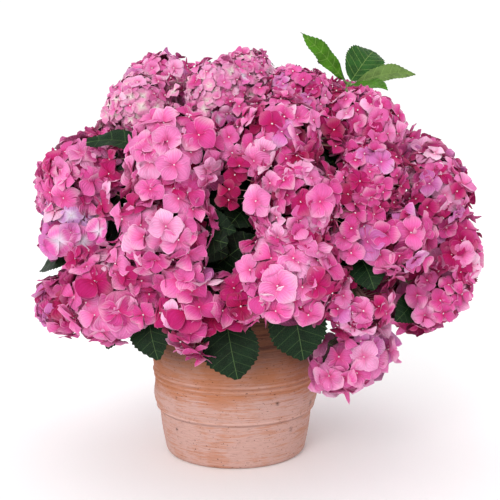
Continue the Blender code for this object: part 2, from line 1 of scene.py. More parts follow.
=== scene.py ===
"""Looks of a potted bigleaf hydrangea, laid out as a Blender add-on.

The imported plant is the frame: its flower heads, canes, leaves and pot stay where the solids are. Each flower
head grows again here by the solids' own rule, carried on to single florets on their stalks, with four or five
sepals each; canes get bark, leaves get veins and teeth, and the pot gets its thrown rings and lime bloom.
Metres, +Z up; the viewer stands at -Y. Places in the crown are an azimuth, an elevation and a reach.
"""

import math
import random
from functools import partial

import bpy
import numpy as np
from bpy.props import FloatProperty, FloatVectorProperty, IntProperty, PointerProperty
from bpy.types import Operator, Panel, PropertyGroup
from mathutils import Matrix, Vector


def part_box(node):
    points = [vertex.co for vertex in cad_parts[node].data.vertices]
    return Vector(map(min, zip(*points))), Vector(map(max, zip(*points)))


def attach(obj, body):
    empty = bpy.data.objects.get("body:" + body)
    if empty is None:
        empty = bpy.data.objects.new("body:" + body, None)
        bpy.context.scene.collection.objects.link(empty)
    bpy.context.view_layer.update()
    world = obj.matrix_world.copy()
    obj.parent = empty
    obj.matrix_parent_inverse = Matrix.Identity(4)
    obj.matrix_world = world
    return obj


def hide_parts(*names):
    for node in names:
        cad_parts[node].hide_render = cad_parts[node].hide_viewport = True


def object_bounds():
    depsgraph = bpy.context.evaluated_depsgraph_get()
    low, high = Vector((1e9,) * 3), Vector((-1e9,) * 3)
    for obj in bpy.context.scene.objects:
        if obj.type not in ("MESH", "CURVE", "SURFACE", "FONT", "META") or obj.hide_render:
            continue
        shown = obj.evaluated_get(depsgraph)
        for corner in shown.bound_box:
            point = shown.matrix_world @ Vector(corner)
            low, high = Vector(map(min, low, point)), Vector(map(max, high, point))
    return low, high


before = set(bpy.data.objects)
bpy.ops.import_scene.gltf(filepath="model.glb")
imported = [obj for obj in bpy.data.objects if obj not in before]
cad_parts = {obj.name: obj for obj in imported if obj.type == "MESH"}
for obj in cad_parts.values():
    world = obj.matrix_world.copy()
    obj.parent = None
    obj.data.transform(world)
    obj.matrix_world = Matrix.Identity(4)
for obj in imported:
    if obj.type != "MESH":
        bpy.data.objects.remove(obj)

CAD_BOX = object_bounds()

bl_info = {
    "name": "Potted hydrangea",
    "version": (1, 0, 0),
    "blender": (4, 5, 0),
    "location": "3D View > Sidebar > Plant",
    "description": "Dresses the solids of a potted bigleaf hydrangea",
    "category": "Object",
}

BODY = "root"
STEP = {"interpolation_type": "SMOOTHSTEP"}      # Map Range that eases from its third value to its fourth
LAYER = {"data_type": "RGBA"}                    # Mix that lays colour 7 over colour 6 by share 0
TIMES = {"operation": "MULTIPLY"}                # Math that multiplies
SEED = 23                   # the solids' own seed
LOOKS_SEED = 41             # everything that only the looks add
VIEWER = (0.0215, -1.55, 0.526)     # where the photograph was taken from

# Thrown ridges and grooves of the pot: height, half-width, how far they stand out; then the dark smudges on
# its clay: place and radius
RIDGES = ((0.0705, 0.0018, 0.0016), (0.0658, 0.0012, -0.0009), (0.1250, 0.0018, 0.0013),
          (0.1208, 0.0014, -0.0007), (0.1170, 0.0015, 0.0009), (0.1130, 0.0014, -0.0004))
SMUDGES = ((0.081, -0.078, 0.0524, 0.0060), (0.109, -0.052, 0.0830, 0.0075), (-0.084, -0.074, 0.0500, 0.0045),
           (-0.083, -0.088, 0.1010, 0.0030), (0.060, -0.105, 0.0980, 0.0050), (0.012, -0.112, 0.0300, 0.0040))

# Crown, canes and heads, as in the solids
CROWN_MIDDLE = np.array([0.030, 0.0, 0.330])
CROWN_HALF = (0.275, 0.245, 0.235, 0.200)   # half-width, half-depth, rise and drop of the ellipsoid
AXIS_ROOT = np.array([0.030, 0.0, 0.270])   # the flower heads face away from this point
SOIL_TOP = 0.205
SOIL_CROWN = 0.004
STUB_SIDES = 10
STUB_RADIUS = 0.028
STUB_TOP_RADIUS = 0.013
STUB_HEIGHT = 0.030
CANE_SPRING = 0.45
KNUCKLE_RADIUS = 0.0086
KNUCKLE_LOW = (-8.0, 0.50)
KNUCKLE_HIGH = (36.0, 0.50)
KNUCKLE_TOP = (88.0, 0.52)
CANE_RADII = (0.0052, 0.0036)
STEM_LIFT = 0.012
STEM_POINTS = 9
GOLDEN_ANGLE = math.pi * (3.0 - math.sqrt(5.0))
COVER_ANGLE = 122.0
SOLID_FLORETS_AT_120 = 9
LEAVES_PER_HEAD = 3
LEAF_ROOT_DEPTH = 0.45
LEAF_LEAN = (-0.10, 0.30)
LEAF_TURN = 0.3
LEAF_LENGTH = (0.100, 0.135)
LEAF_TRIES = (1.0, 0.84, 0.70)

# Flower heads in view: name, azimuth, elevation, reach, diameter in mm, colour
HEADS_IN_VIEW = (
    ("head_top_left", -90, 59, 1.00, 124, "mauve"),
    ("head_young_left", -56, 48, 1.02, 104, "young"),
    ("head_top_middle", -25, 82, 0.93, 96, "young"),
    ("head_upper_middle", -19, 57, 0.99, 104, "young"),
    ("head_top_right", 21, 54, 0.99, 102, "plum"),
    ("head_upper_right", 43, 42, 1.00, 116, "magenta"),
    ("head_middle_high", 7, 36, 1.00, 122, "magenta"),
    ("head_left_high", -24, 29, 1.00, 140, "rose"),
    ("head_left_upper", -70, 22, 1.00, 124, "pink"),
    ("head_left_far", -94, 10, 1.06, 104, "pale"),
    ("head_left_lilac", -70, 2, 1.00, 106, "lilac"),
    ("head_left_middle", -25, 8, 1.00, 132, "rose"),
    ("head_middle_upper", 10, 16, 1.00, 126, "magenta"),
    ("head_middle_front", 9, -8, 1.00, 134, "magenta"),
    ("head_right_inner", 35, 23, 0.98, 108, "crimson"),
    ("head_right_upper", 67, 17, 1.00, 116, "magenta"),
    ("head_right_far", 76, -6, 1.04, 122, "magenta"),
    ("head_right_mauve", 38, 3, 0.99, 112, "orchid"),
    ("head_right_low", 67, -22, 1.06, 112, "magenta"),
    ("head_left_low_front", -49, -21, 1.01, 128, "pink"),
    ("head_left_low_far", -73, -25, 1.16, 102, "orchid"),
    ("head_middle_low", -16, -25, 1.00, 124, "magenta"),
    ("head_right_tucked", 32, -20, 0.97, 100, "magenta"),
    ("head_right_hanging", 46, -51, 1.05, 124, "pale"),
)

# Rows of flower heads round the back: name, elevation, reach, diameter in mm, azimuths, colours
BACK_ROWS = (
    ("head_back_top", 70, 0.84, 108, (150,), ("pink",)),
    ("head_back_high", 48, 0.99, 124, (130, 184, 240), ("rose", "magenta", "young")),
    ("head_back_upper", 22, 1.00, 130, (101, 137, 173, 209, 245), ("magenta", "pink", "rose", "mauve")),
    ("head_back_middle", -4, 1.02, 130, (108, 143, 178, 213, 248), ("rose", "magenta", "mauve", "pink")),
    ("head_back_low", -29, 1.03, 126, (100, 139, 178, 217, 256), ("pink", "mauve", "magenta", "rose")),
)

# The shoot with leaves and no flower, and its leaves: azimuth, elevation and reach of the tip, width share,
# the way the blade faces, kind
LEAFY_SHOOT = ("leafy_shoot", 80, 62, 1.03)
SHOOT_ROOT_DEPTH = 0.004
SHOOT_LEAVES = (
    (54, 77, 1.23, 0.27, (0.5, -1.0, 0.1), "fresh"),
    (101, 60, 1.27, 0.70, (-0.2, -1.0, 0.1), "shoot"),
    (84, 49, 1.26, 0.36, (0.1, -0.8, 1.0), "pale"),
    (66, 50, 1.12, 0.46, (0.0, -0.5, 1.0), "fresh"),
    (150, 63, 1.24, 0.16, (0.0, -0.5, 1.0), "dark"),
)

# Leaves that show between and under the heads: head, azimuth, elevation and reach of the leaf's tip, the
# share of its length from which no floret hangs in front of it and how far beside its midrib none does, its
# turn about the tip in degrees, width share, kind
LEAVES_IN_VIEW = (
    ("head_left_high", -57, 30, 1.13, 0.86, 0.006, -4, 0.21, "middle"),
    ("head_middle_low", -6, -45, 1.20, 0.54, 0.036, 11, 0.76, "middle"),
    ("head_middle_front", 14, -38, 1.15, 0.72, 0.028, 0, 0.66, "middle"),
    ("head_left_low_front", -34, -42, 1.14, 0.66, 0.024, 16, 0.62, "middle"),
    ("head_left_low_front", -52, -38, 1.18, 0.94, 0.008, 0, 0.44, "middle"),
    ("head_left_lilac", -78, -13, 1.17, 0.55, 0.012, 12, 0.60, "middle"),
    ("head_right_mauve", 31, -16, 1.10, 0.46, 0.019, -25, 0.74, "middle"),
    ("head_right_low", 52, -32, 1.03, 0.60, 0.015, 0, 0.60, "middle"),
    ("head_upper_middle", -24, 50, 0.98, 0.80, 0.008, 0, 0.60, "middle"),
    ("head_left_middle", -6, 7, 0.92, 0.74, 0.009, 14, 0.50, "middle"),
    ("head_left_middle", -9, -2, 0.86, 0.84, 0.006, 0, 0.60, "dark"),
    ("head_middle_high", 27, 31, 0.90, 0.90, 0.008, 0, 0.60, "middle"),
)
TUCK = 0.70                 # leaves on the viewer's side that don't show stay back behind the florets
LEVEL_LEAVES = ("head_left_high", "head_left_lilac")    # heads whose leaf in view lies level, seen on edge

# How far the crown reaches in the photograph, in metres at its middle's distance: the place of its middle,
# and the reach for every 15 degrees round from the top, clockwise
OUTLINE_MIDDLE = (0.0085, -0.196)
OUTLINE = (0.265, 0.245, 0.255, 0.268, 0.282, 0.320, 0.330, 0.338, 0.308, 0.280, 0.288, 0.245,
           0.206, 0.211, 0.226, 0.262, 0.339, 0.336, 0.314, 0.334, 0.295, 0.296, 0.298, 0.255)

# Sepal tints, each a piece of its own, and the shares in which a head's colour deals out all but the last,
# shade: crimson painted shade that only florets deeper in a head and in valleys between heads have
TINTS = ("deep", "magenta", "pink", "rose", "blush", "pearl", "mauve", "lilac", "eyed", "cream", "shade")
PALETTES = {
    "crimson": (0.36, 0.42, 0.14, 0.04, 0.00, 0.00, 0.04, 0.00, 0.00, 0.00),
    "plum": (0.22, 0.36, 0.14, 0.06, 0.00, 0.00, 0.22, 0.00, 0.00, 0.00),
    "magenta": (0.20, 0.30, 0.21, 0.16, 0.08, 0.03, 0.02, 0.00, 0.00, 0.00),
    "pink": (0.04, 0.22, 0.40, 0.22, 0.10, 0.02, 0.00, 0.00, 0.00, 0.00),
    "rose": (0.06, 0.20, 0.32, 0.25, 0.13, 0.04, 0.00, 0.00, 0.00, 0.00),
    "pale": (0.00, 0.04, 0.20, 0.30, 0.22, 0.04, 0.20, 0.00, 0.00, 0.00),
    "mauve": (0.00, 0.06, 0.20, 0.24, 0.18, 0.02, 0.30, 0.00, 0.00, 0.00),
    "orchid": (0.06, 0.34, 0.32, 0.06, 0.00, 0.00, 0.22, 0.00, 0.00, 0.00),
    "lilac": (0.00, 0.04, 0.14, 0.10, 0.06, 0.02, 0.18, 0.18, 0.28, 0.00),
    "young": (0.00, 0.02, 0.14, 0.26, 0.24, 0.05, 0.02, 0.00, 0.03, 0.24),
}
# The tint that a floret in a valley between heads gets in place of each one dealt out: the first five go one
# deeper, as painted shade in the valley
VALLEY_TINTS = ("shade", "deep", "magenta", "pink", "rose", "blush", "mauve", "lilac", "eyed", "cream")

# Inner florets are painted deeper as shade inside a head: pink or magenta on these light heads, crimson on the
# rest.
LIGHT_COLOURS = ("pale", "mauve", "lilac", "young")     # heads whose inner florets are pink, not crimson

# Single florets that stand out in the photograph: head, how far to the right of its middle and above it in
# radii, length of a sepal, tint
FLORETS_IN_VIEW = (
    ("head_left_high", -0.54, -0.04, 0.024, "blush"), ("head_left_high", -0.10, -0.09, 0.023, "rose"),
    ("head_left_middle", 0.25, -0.27, 0.025, "rose"), ("head_left_middle", -0.28, 0.70, 0.020, "pink"),
    ("head_left_upper", -0.44, -0.55, 0.023, "pink"),
    ("head_left_lilac", -0.29, -0.25, 0.024, "eyed"), ("head_left_lilac", 0.32, -0.27, 0.024, "eyed"),
    ("head_left_lilac", 0.70, 0.22, 0.020, "lilac"), ("head_left_lilac", 0.04, 0.42, 0.018, "lilac"),
    ("head_left_low_front", 0.32, 0.40, 0.024, "pink"), ("head_left_low_front", 0.67, 0.14, 0.025, "pink"),
    ("head_left_low_front", 0.18, -0.29, 0.026, "magenta"),
    ("head_middle_front", -0.25, -0.19, 0.027, "rose"), ("head_middle_front", -0.78, 0.11, 0.020, "rose"),
    ("head_middle_front", -0.28, -0.66, 0.024, "pink"),
    ("head_middle_upper", -0.76, 0.00, 0.023, "rose"), ("head_middle_upper", 0.51, 0.00, 0.023, "pink"),
    ("head_middle_upper", -0.31, -0.72, 0.018, "blush"),
    ("head_middle_high", -0.50, -0.42, 0.022, "rose"),
    ("head_right_mauve", -0.43, -0.07, 0.025, "mauve"),
    ("head_right_tucked", 0.13, -0.32, 0.019, "rose"), ("head_right_tucked", -0.50, -0.30, 0.019, "mauve"),
    ("head_right_hanging", -0.26, 0.00, 0.023, "pink"), ("head_right_hanging", -0.48, -0.44, 0.023, "rose"),
)
FLORET_IN_VIEW_DEPTH = 0.94     # how far out of its head such a floret stands, in radii

# Heads far apart whose florets still meet in the picture
BRIDGED = (("head_left_upper", "head_left_high"), ("head_left_lilac", "head_left_middle"),
           ("head_left_upper", "head_left_middle"))
OPENING_SIDE = (-0.35, -1.0, -0.10)     # where the florets of young heads still open, cream round the eye
OPENING_COSINE = 0.88       # of the widest angle from there at which they do

# The tint whose piece stands in for the solids of the heads of a colour
MAIN_TINT = {"crimson": "deep", "plum": "deep", "magenta": "magenta", "pink": "pink", "rose": "rose",
             "pale": "rose", "mauve": "mauve", "orchid": "magenta", "lilac": "lilac", "young": "blush"}

# Layers of florets in a head: the setting that holds their number, from and to what share of the head's
# radius they stand, and their scale; then where their stalks fork, out along the floret's way and back down
# the axis
LAYERS = (("florets", (0.75, 0.90), 1.0), ("inner", (0.54, 0.68), 0.8))
FORK_OUT = 0.30
FORK_BACK = 0.10
LEAST_ROOM = 0.58           # share of a head's radius that another head must leave free for a floret
ROOM_OVER = 0.06            # how far florets of two heads reach in among each other
TIGHT_COLOURS = ("crimson", "plum", "magenta")      # their florets are smaller right of TIGHT_SIDE
TIGHT_SIDE = 0.06
TIGHT_SCALE = 0.86
OUTLINE_MARGIN = 0.7        # sepal lengths that a floret's middle keeps inside the crown's outline
OUTLINE_PULLS = 4           # times that a floret beyond the outline is drawn in
OUTLINE_PULL = 0.87         # share of its way out that each time leaves
LEAF_MARGIN = 0.3           # sepal lengths that a floret's middle keeps beside a leaf in view
LEAF_BACK = 0.02            # florets this far behind the start of a leaf's bare part still count as before it
VIEW_MARGIN = 0.62          # sepal lengths that other florets keep away from one that stands out

# Valleys between two heads: how far apart these may be in sums of their radii, the least radius of the circle
# of florets, half its arc, the step from floret to floret, their depth, and the room that a third head must
# leave
VALLEY_APART = 1.22
VALLEY_LEAST = 0.55
VALLEY_ARC = 1.4
VALLEY_STEP = 0.019
VALLEY_DEPTH = (0.74, 0.92)
VALLEY_ROOM = 0.80

# Leaves on a stem that end inside the crown: how many are tried, and the farthest reach of a tip
INNER_LEAVES = (10, 0.88)
SHOOT_INNER_LEAVES = (22, 0.97)
CORNER_MATCH = 2e-5         # how near a leaf's tip lies to its corner of the solid
LEVEL_FACING = (0.0, -0.6, 1.0)     # the way a level leaf's blade faces

# Steps round the soil, the stub and the floor, and the place that the lamp shines from
SOIL_SIDES = 160
STUB_STEPS = 72
FLOOR_SIDES = 96
KEY_PLACE = (-0.8, -2.4, 1.5)


def linear(text):
    """Turns an sRGB hex colour into linear red, green and blue."""
    values = [int(text[i:i + 2], 16) / 255.0 for i in (1, 3, 5)]
    return tuple(v / 12.92 if v <= 0.04045 else ((v + 0.055) / 1.055) ** 2.4 for v in values)


def colour_property(name, description, text):
    """A colour that the user may change, with its sRGB hex default."""
    return FloatVectorProperty(name=name, description=description, subtype="COLOR", size=3,
                               min=0.0, max=1.0, default=linear(text))


def size_property(name, description, value):
    """A length in metres that the user may change."""
    return FloatProperty(name=name, description=description, unit="LENGTH", min=0.0, default=value)


def share_property(name, description, value):
    """A share or ratio that the user may change."""
    return FloatProperty(name=name, description=description, subtype="FACTOR", min=0.0, max=4.0,
                         default=value)


class PotSettings(PropertyGroup):
    """The clay pot and its soil."""

    wall: size_property("Wall", "Thickness of the pot's wall", 0.011)
    lip: size_property("Lip", "Height of the round lip", 0.016)
    ring_depth: size_property("Ring depth", "Depth of the rings that the potter's fingers left", 0.00028)
    ring_pitch: size_property("Ring pitch", "Height from one finger ring to the next", 0.0042)
    wobble: size_property("Wobble", "How far the wall strays from a true circle", 0.0005)
    sides: IntProperty(name="Sides", description="Steps round the pot", min=24, default=224)
    clay: colour_property("Clay", "Fired clay where no lime shows", "#b0714f")
    # Also paints the shade that the flowers cast over the upper wall, and the shade in the grooves.
    dark_clay_and_shade: colour_property("Damp clay", "Clay where water and dirt have stained it", "#43241a")
    bloom: colour_property("Lime bloom", "Pale lime that water has drawn out of the clay", "#be988e")
    soil: colour_property("Soil", "Damp potting soil", "#2c211a")


class FlowerSettings(PropertyGroup):
    """The florets of the flower heads."""

    florets: IntProperty(name="Florets", description="Florets on the outside of a whole head", min=8,
                         default=62)
    inner: IntProperty(name="Inner florets", description="Florets deeper in a head", min=0, default=25)
    sepal: share_property("Sepal", "Length of a sepal as a share of the head's radius", 0.33)
    young_sepal: share_property("Young sepal", "The same on a head that is still opening", 0.24)
    sepal_width: share_property("Sepal width", "Width of a sepal as a share of its length", 1.10)
    bead: size_property("Bead", "Radius of the bead in a floret's middle", 0.0014)
    # Outer florets have deep as their own colour; inner florets of dark heads and florets in valleys take it
    # as painted shade.
    deep: colour_property("Deep", "Deep magenta sepals", "#b21f68")
    magenta: colour_property("Magenta", "Magenta sepals", "#cd4790")
    pink: colour_property("Pink", "Pink sepals", "#db62a6")
    rose: colour_property("Rose", "Rose sepals", "#de79b3")
    blush: colour_property("Blush", "Pale rose sepals", "#e69cc8")
    pearl: colour_property("Pearl", "Nearly white sepals", "#e8b6d2")
    mauve: colour_property("Mauve", "Mauve sepals", "#cd70b4")
    lilac: colour_property("Lilac", "Lilac sepals", "#c487c4")
    eyed: colour_property("Eyed", "Pink sepals round a white eye", "#dc62ae")
    cream: colour_property("Cream", "Pink sepals of a young head, round a greenish eye", "#e28cb9")
    # Painted shade: crimson for florets deep in a head and in the valleys between heads.
    shade: colour_property("Shade", "Crimson sepals deeper in a head", "#a01452")
    white_eye: colour_property("White eye", "The middle of lilac and eyed florets", "#e6dcec")
    green_eye: colour_property("Green eye", "The middle of a young floret", "#e9e2d8")
    bead_colour: colour_property("Bead colour", "The unopened middle of a floret", "#f0dbe2")


class LeafSettings(PropertyGroup):
    """Leaves, stems and canes."""

    width: share_property("Width", "Width of a leaf as a share of its length", 0.66)
    tooth: share_property("Tooth", "Depth of the teeth as a share of the leaf's half-width", 0.038)
    veins: IntProperty(name="Veins", description="Pairs of side veins", min=3, default=7)
    dark: colour_property("Old leaf", "Dark green of the old leaves", "#0f1d12")
    middle: colour_property("Leaf", "Green of the leaves in the light", "#112a16")
    fresh: colour_property("Fresh leaf", "Bright green of the young shoot", "#42780f")
    shoot: colour_property("Shoot leaf", "Deep green of the shoot's broad leaf", "#285a20")
    # Painted reflection: this grey green stands for the sky's gloss on a leaf that faces up.
    pale: colour_property("Pale leaf", "Grey green of a leaf whose gloss shows", "#64803f")
    vein: colour_property("Vein", "Pale green of the veins", "#5f7c4a")
    young_vein: colour_property("Young vein", "Yellow green of the veins on the young shoot", "#93b25e")
    stem: colour_property("Stem", "Green of the flower stems", "#6f8f4a")
    stalk: colour_property("Floret stalk", "Green and pink of the florets' stalks", "#a87a74")
    bark: colour_property("Bark", "Tan bark of the canes", "#8a7052")
    bark_dark: colour_property("Bark furrow", "Furrows and scars of the bark", "#4a3828")


class StageSettings(PropertyGroup):
    """Camera, floor and lights."""

    lens: FloatProperty(name="Lens", description="Focal length on a 36 mm sensor", min=10.0, default=76.7)
    camera_side: FloatProperty(name="Camera side", description="Camera place along X", unit="LENGTH",
                               default=0.0215)
    camera_away: size_property("Camera distance", "Distance of the camera in front of the pot", 1.55)
    camera_height: size_property("Camera height", "Height of the camera", 0.526)
    pitch: FloatProperty(name="Pitch", description="Angle at which the camera looks down, in degrees",
                         default=8.3)
    floor: size_property("Floor", "Radius of the floor", 9.0)
    floor_colour: colour_property("Floor colour", "Pale matt floor", "#ffffff")
    sky: FloatProperty(name="Sky", description="Strength of the even light from all round", min=0.0,
                       default=1.06)
    key: FloatProperty(name="Key light", description="Strength of the wide distant lamp", min=0.0,
                       default=1.44)
    key_spread: FloatProperty(name="Key spread", description="Width of that lamp in the sky, in degrees",
                              min=0.0, default=34.0)


class PlantSettings(PropertyGroup):
    """All settings of the plant."""

    pot: PointerProperty(type=PotSettings)
    flowers: PointerProperty(type=FlowerSettings)
    leaves: PointerProperty(type=LeafSettings)
    stage: PointerProperty(type=StageSettings)


def unit(vectors):
    """Each vector at length 1."""
    vectors = np.asarray(vectors, dtype=float)
    return vectors / np.linalg.norm(vectors, axis=-1, keepdims=True)


def side_axes(direction, hint=(0.0, 0.0, 1.0)):
    """Two unit vectors square to each direction, the first as near as it can be to the hint."""
    direction = unit(direction)
    hint = np.broadcast_to(np.asarray(hint, dtype=float), direction.shape)
    first = hint - direction * np.sum(hint * direction, axis=-1, keepdims=True)
    short = np.linalg.norm(first, axis=-1, keepdims=True) < 1e-3
    spare = np.array([1.0, 0.0, 0.0]) - direction * direction[..., :1]
    first = unit(np.where(short, spare, first))
    return first, np.cross(direction, first)


def crown_point(azimuth, elevation, reach):
    """The place of an azimuth, elevation and reach on the crown's ellipsoid."""
    wide, deep, rise, drop = CROWN_HALF
    a, e = math.radians(azimuth), math.radians(elevation)
    height = rise if e > 0 else drop
    level = math.cos(e)
    step = np.array([wide * math.sin(a) * level, -deep * math.cos(a) * level, height * math.sin(e)])
    return CROWN_MIDDLE + reach * step


def reach_of(points):
    """The reach of each point: 1 on the crown's ellipsoid, more outside it."""
    step = np.asarray(points) - CROWN_MIDDLE
    wide, deep, rise, drop = CROWN_HALF
    height = np.where(step[..., 2] > 0, rise, drop)
    return np.sqrt((step[..., 0] / wide) ** 2 + (step[..., 1] / deep) ** 2 + (step[..., 2] / height) ** 2)


def curve_points(start, control, end, count):
    """Points along a quadratic curve that leaves start towards control and ends at end."""
    t = np.linspace(0.0, 1.0, count)[:, None]
    start, control, end = (np.asarray(p, dtype=float)[..., None, :] for p in (start, control, end))
    return (1 - t) ** 2 * start + 2 * t * (1 - t) * control + t ** 2 * end


def ripple(points, pitch, seed, waves=24):
    """A smooth random relief from -1 to 1: a sum of plane waves about a pitch long, in random directions."""
    draw = np.random.default_rng(seed)
    directions = unit(draw.normal(size=(waves, 3)))
    lengths = pitch * draw.uniform(0.7, 1.6, waves)
    phases = draw.uniform(0.0, 2.0 * math.pi, waves)
    steps = 2.0 * math.pi / lengths[:, None] * directions
    return np.sin(points @ steps.T + phases).sum(axis=-1) / math.sqrt(waves * 2.0)


def grid_faces(rows, columns, closed=False):
    """Faces of a grid of points; a closed one joins its last column to its first."""
    last = columns if closed else columns - 1
    return [(r * columns + c, r * columns + (c + 1) % columns, (r + 1) * columns + (c + 1) % columns,
             (r + 1) * columns + c) for r in range(rows - 1) for c in range(last)]


def blade_faces(rows, columns):
    """Faces of a blade that faces up: a root point, a grid from root to tip, and a tip point."""
    tip = 1 + rows * columns
    faces = [(0, 1 + c, 2 + c) for c in range(columns - 1)]
    for r in range(rows - 1):
        near, far = 1 + r * columns, 1 + (r + 1) * columns
        faces += [(near + c, far + c, far + c + 1, near + c + 1) for c in range(columns - 1)]
    near = 1 + (rows - 1) * columns
    return faces + [(near + c, tip, near + c + 1) for c in range(columns - 1)]


def add_piece(name, shapes, material, replaced=()):
    """Joins shapes into one smooth piece that rides on the plant.

    A shape is (points, faces, marks): points holds count copies of one form of size points, faces the index
    tuples of one copy, and marks one vector per point for the material, or None.
    """
    points, corners, lengths, marks = [], [], [], []
    start = 0
    for form, faces, mark in shapes:
        count, size = form.shape[:2]
        one = np.concatenate([np.asarray(face) for face in faces])
        shift = np.arange(count)[:, None] * size + start
        corners.append((one[None, :] + shift).ravel())
        lengths.append(np.tile([len(face) for face in faces], count))
        points.append(form.reshape(-1, 3))
        marks.append(np.zeros((count * size, 3)) if mark is None else mark.reshape(-1, 3))
        start += count * size
    lengths = np.concatenate(lengths)
    corners = np.concatenate(corners)
    mesh = bpy.data.meshes.new(name)
    mesh.vertices.add(start)
    mesh.vertices.foreach_set("co", np.concatenate(points).ravel())
    mesh.loops.add(len(corners))
    mesh.loops.foreach_set("vertex_index", corners)
    mesh.polygons.add(len(lengths))
    mesh.polygons.foreach_set("loop_start", np.concatenate(([0], np.cumsum(lengths)[:-1])))
    mesh.update(calc_edges=True)
    layer = mesh.attributes.new("mark", "FLOAT_VECTOR", "POINT")
    layer.data.foreach_set("vector", np.concatenate(marks).ravel())
    mesh.shade_smooth()
    mesh.materials.append(material)
    piece = bpy.data.objects.new(name, mesh)
    bpy.context.scene.collection.objects.link(piece)
    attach(piece, BODY)
    if replaced:
        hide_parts(*replaced)
    return piece


def tubes(paths, radii, sides):
    """Closed tubes along paths: rings square to each path, whose size follows the radii.

    paths is (count, rings, 3) and radii (count, rings) or (rings,); each ring is sides points round the path.
    """
    count, rings = paths.shape[:2]
    ahead = np.empty_like(paths)
    ahead[:, 1:-1] = paths[:, 2:] - paths[:, :-2]
    ahead[:, 0] = paths[:, 1] - paths[:, 0]
    ahead[:, -1] = paths[:, -1] - paths[:, -2]
    hint = unit(np.cross(paths[:, -1] - paths[:, 0], np.array([0.31, 0.87, 0.22])))[:, None, :]
    first, second = side_axes(ahead, hint)
    angle = 2.0 * math.pi * np.arange(sides) / sides
    radii = np.broadcast_to(radii, (count, rings))[..., None, None]
    ring = first[:, :, None] * np.cos(angle)[:, None] + second[:, :, None] * np.sin(angle)[:, None]
    points = (paths[:, :, None] + radii * ring).reshape(count, rings * sides, 3)
    faces = grid_faces(rings, sides, closed=True)
    faces += [tuple(range(sides))[::-1], tuple(range((rings - 1) * sides, rings * sides))]
    return points, faces


def add_node(tree, kind, inputs=(), out=0, **settings):
    """Adds a node with its settings, sets or links its inputs, and returns an output, or all if out is None.

    inputs holds sockets or values, in the sockets' order or as a dictionary by their name or number.
    """
    item = tree.nodes.new("ShaderNode" + kind)
    for name, value in settings.items():
        setattr(item, name, value)
    for key, value in inputs.items() if isinstance(inputs, dict) else enumerate(inputs):
        if isinstance(value, bpy.types.NodeSocket):
            tree.links.new(value, item.inputs[key])
        else:
            item.inputs[key].default_value = value
    return item.outputs if out is None else item.outputs[out]


def new_material(name, **finish):
    """A Principled surface: its material, the way to add nodes to it and its shader, with an even finish."""
    material = bpy.data.materials.new(name)
    material.use_nodes = True
    shader = material.node_tree.nodes["Principled BSDF"]
    for key, value in finish.items():
        shader.inputs[key.replace("_", " ")].default_value = value
    return material, partial(add_node, material.node_tree), shader


def finish_surface(material, shader, tone, relief, strength, depth):
    """Links a colour to a surface, and a height pattern as a bump of a strength and a depth in metres."""
    normal = add_node(material.node_tree, "Bump", {"Strength": strength, "Distance": depth, "Height": relief})
    material.node_tree.links.new(tone, shader.inputs["Base Color"])
    material.node_tree.links.new(normal, shader.inputs["Normal"])
    return material


def rgba(colour):
    """A linear colour with full opacity."""
    return (*colour, 1.0)


def sepal_tissue(name, colour, eye=None):
    """Hydrangea sepal: thin, velvety tissue, deeper at its claw, paler at tip and rim, with fanned veins.

    Soft cells scatter light, so it is matt with hardly any gloss and a faint sheen seen on edge; veins are
    about 1 mm apart at the rim, and the skin puckers in creases of 2 mm.
    """
    material, node, shader = new_material(f"sepal_tissue_{name}", Roughness=0.7, Specular_IOR_Level=0.08,
                                          Sheen_Weight=0.14, Sheen_Roughness=0.5,
                                          Sheen_Tint=rgba(linear("#ffadd4")))
    mark = node("Attribute", out="Vector", attribute_name="mark")
    along, across, chance = node("SeparateXYZ", (mark,), None)
    place = node("TexCoord", out="Object")
    colour = np.array(colour)
    tone = rgba(colour)
    deep = rgba(colour * np.array([0.90, 0.34, 0.52]))
    claw = deep if eye is None else rgba(eye)
    paling = 0.90 if name in ("deep", "shade") else 0.70        # the deepest tints pale least at tip and rim
    pale = rgba(1.0 - (1.0 - colour) * paling)
    fade = (0.04, 0.50, 0.85, 0.0) if eye is None else (0.06, 0.60, 0.95, 0.0)
    centre = node("MapRange", (along, *fade), **STEP)
    tip = node("Math", (node("MapRange", (along, 0.40, 1.0, 0.0, 1.0), **STEP),
                        node("MapRange", (chance, 0.15, 0.90, 0.0, 1.0), **STEP)), **TIMES)
    fan = node("Math", (node("Math", (across, 24.0), **TIMES),), operation="SINE")
    vein = node("MapRange", (fan, 0.3, 1.0, 0.0, 0.26), **STEP)
    edge = node("Math", (across, node("Math", (along, 3.0), operation="POWER")), operation="MAXIMUM")
    rim = node("MapRange", (edge, 0.86, 0.98, 0.0, 0.45), **STEP)
    for share, over in ((centre, claw), (tip, pale), (vein, deep), (rim, pale)):
        tone = node("Mix", {0: share, 6: tone, 7: over}, 2, **LAYER)
    cloud = node("TexNoise", {"Vector": place, "Scale": 1.0 / 0.012, "Detail": 3.0, "Roughness": 0.55})
    shade = node("Math", (node("MapRange", (cloud, 0.3, 0.7, 0.92, 1.06), **STEP),
                          node("MapRange", (chance, 0.0, 1.0, -0.05, 0.05), **STEP)), operation="ADD")
    tone = node("HueSaturation", {"Color": tone, "Value": shade})
    crease = node("TexNoise", {"Vector": place, "Scale": 1.0 / 0.0022, "Detail": 2.0, "Roughness": 0.55})
    relief = node("Math", (fan, node("Math", (crease, 2.5), **TIMES)), operation="ADD")
    return finish_surface(material, shader, tone, relief, 0.5, 0.0005)


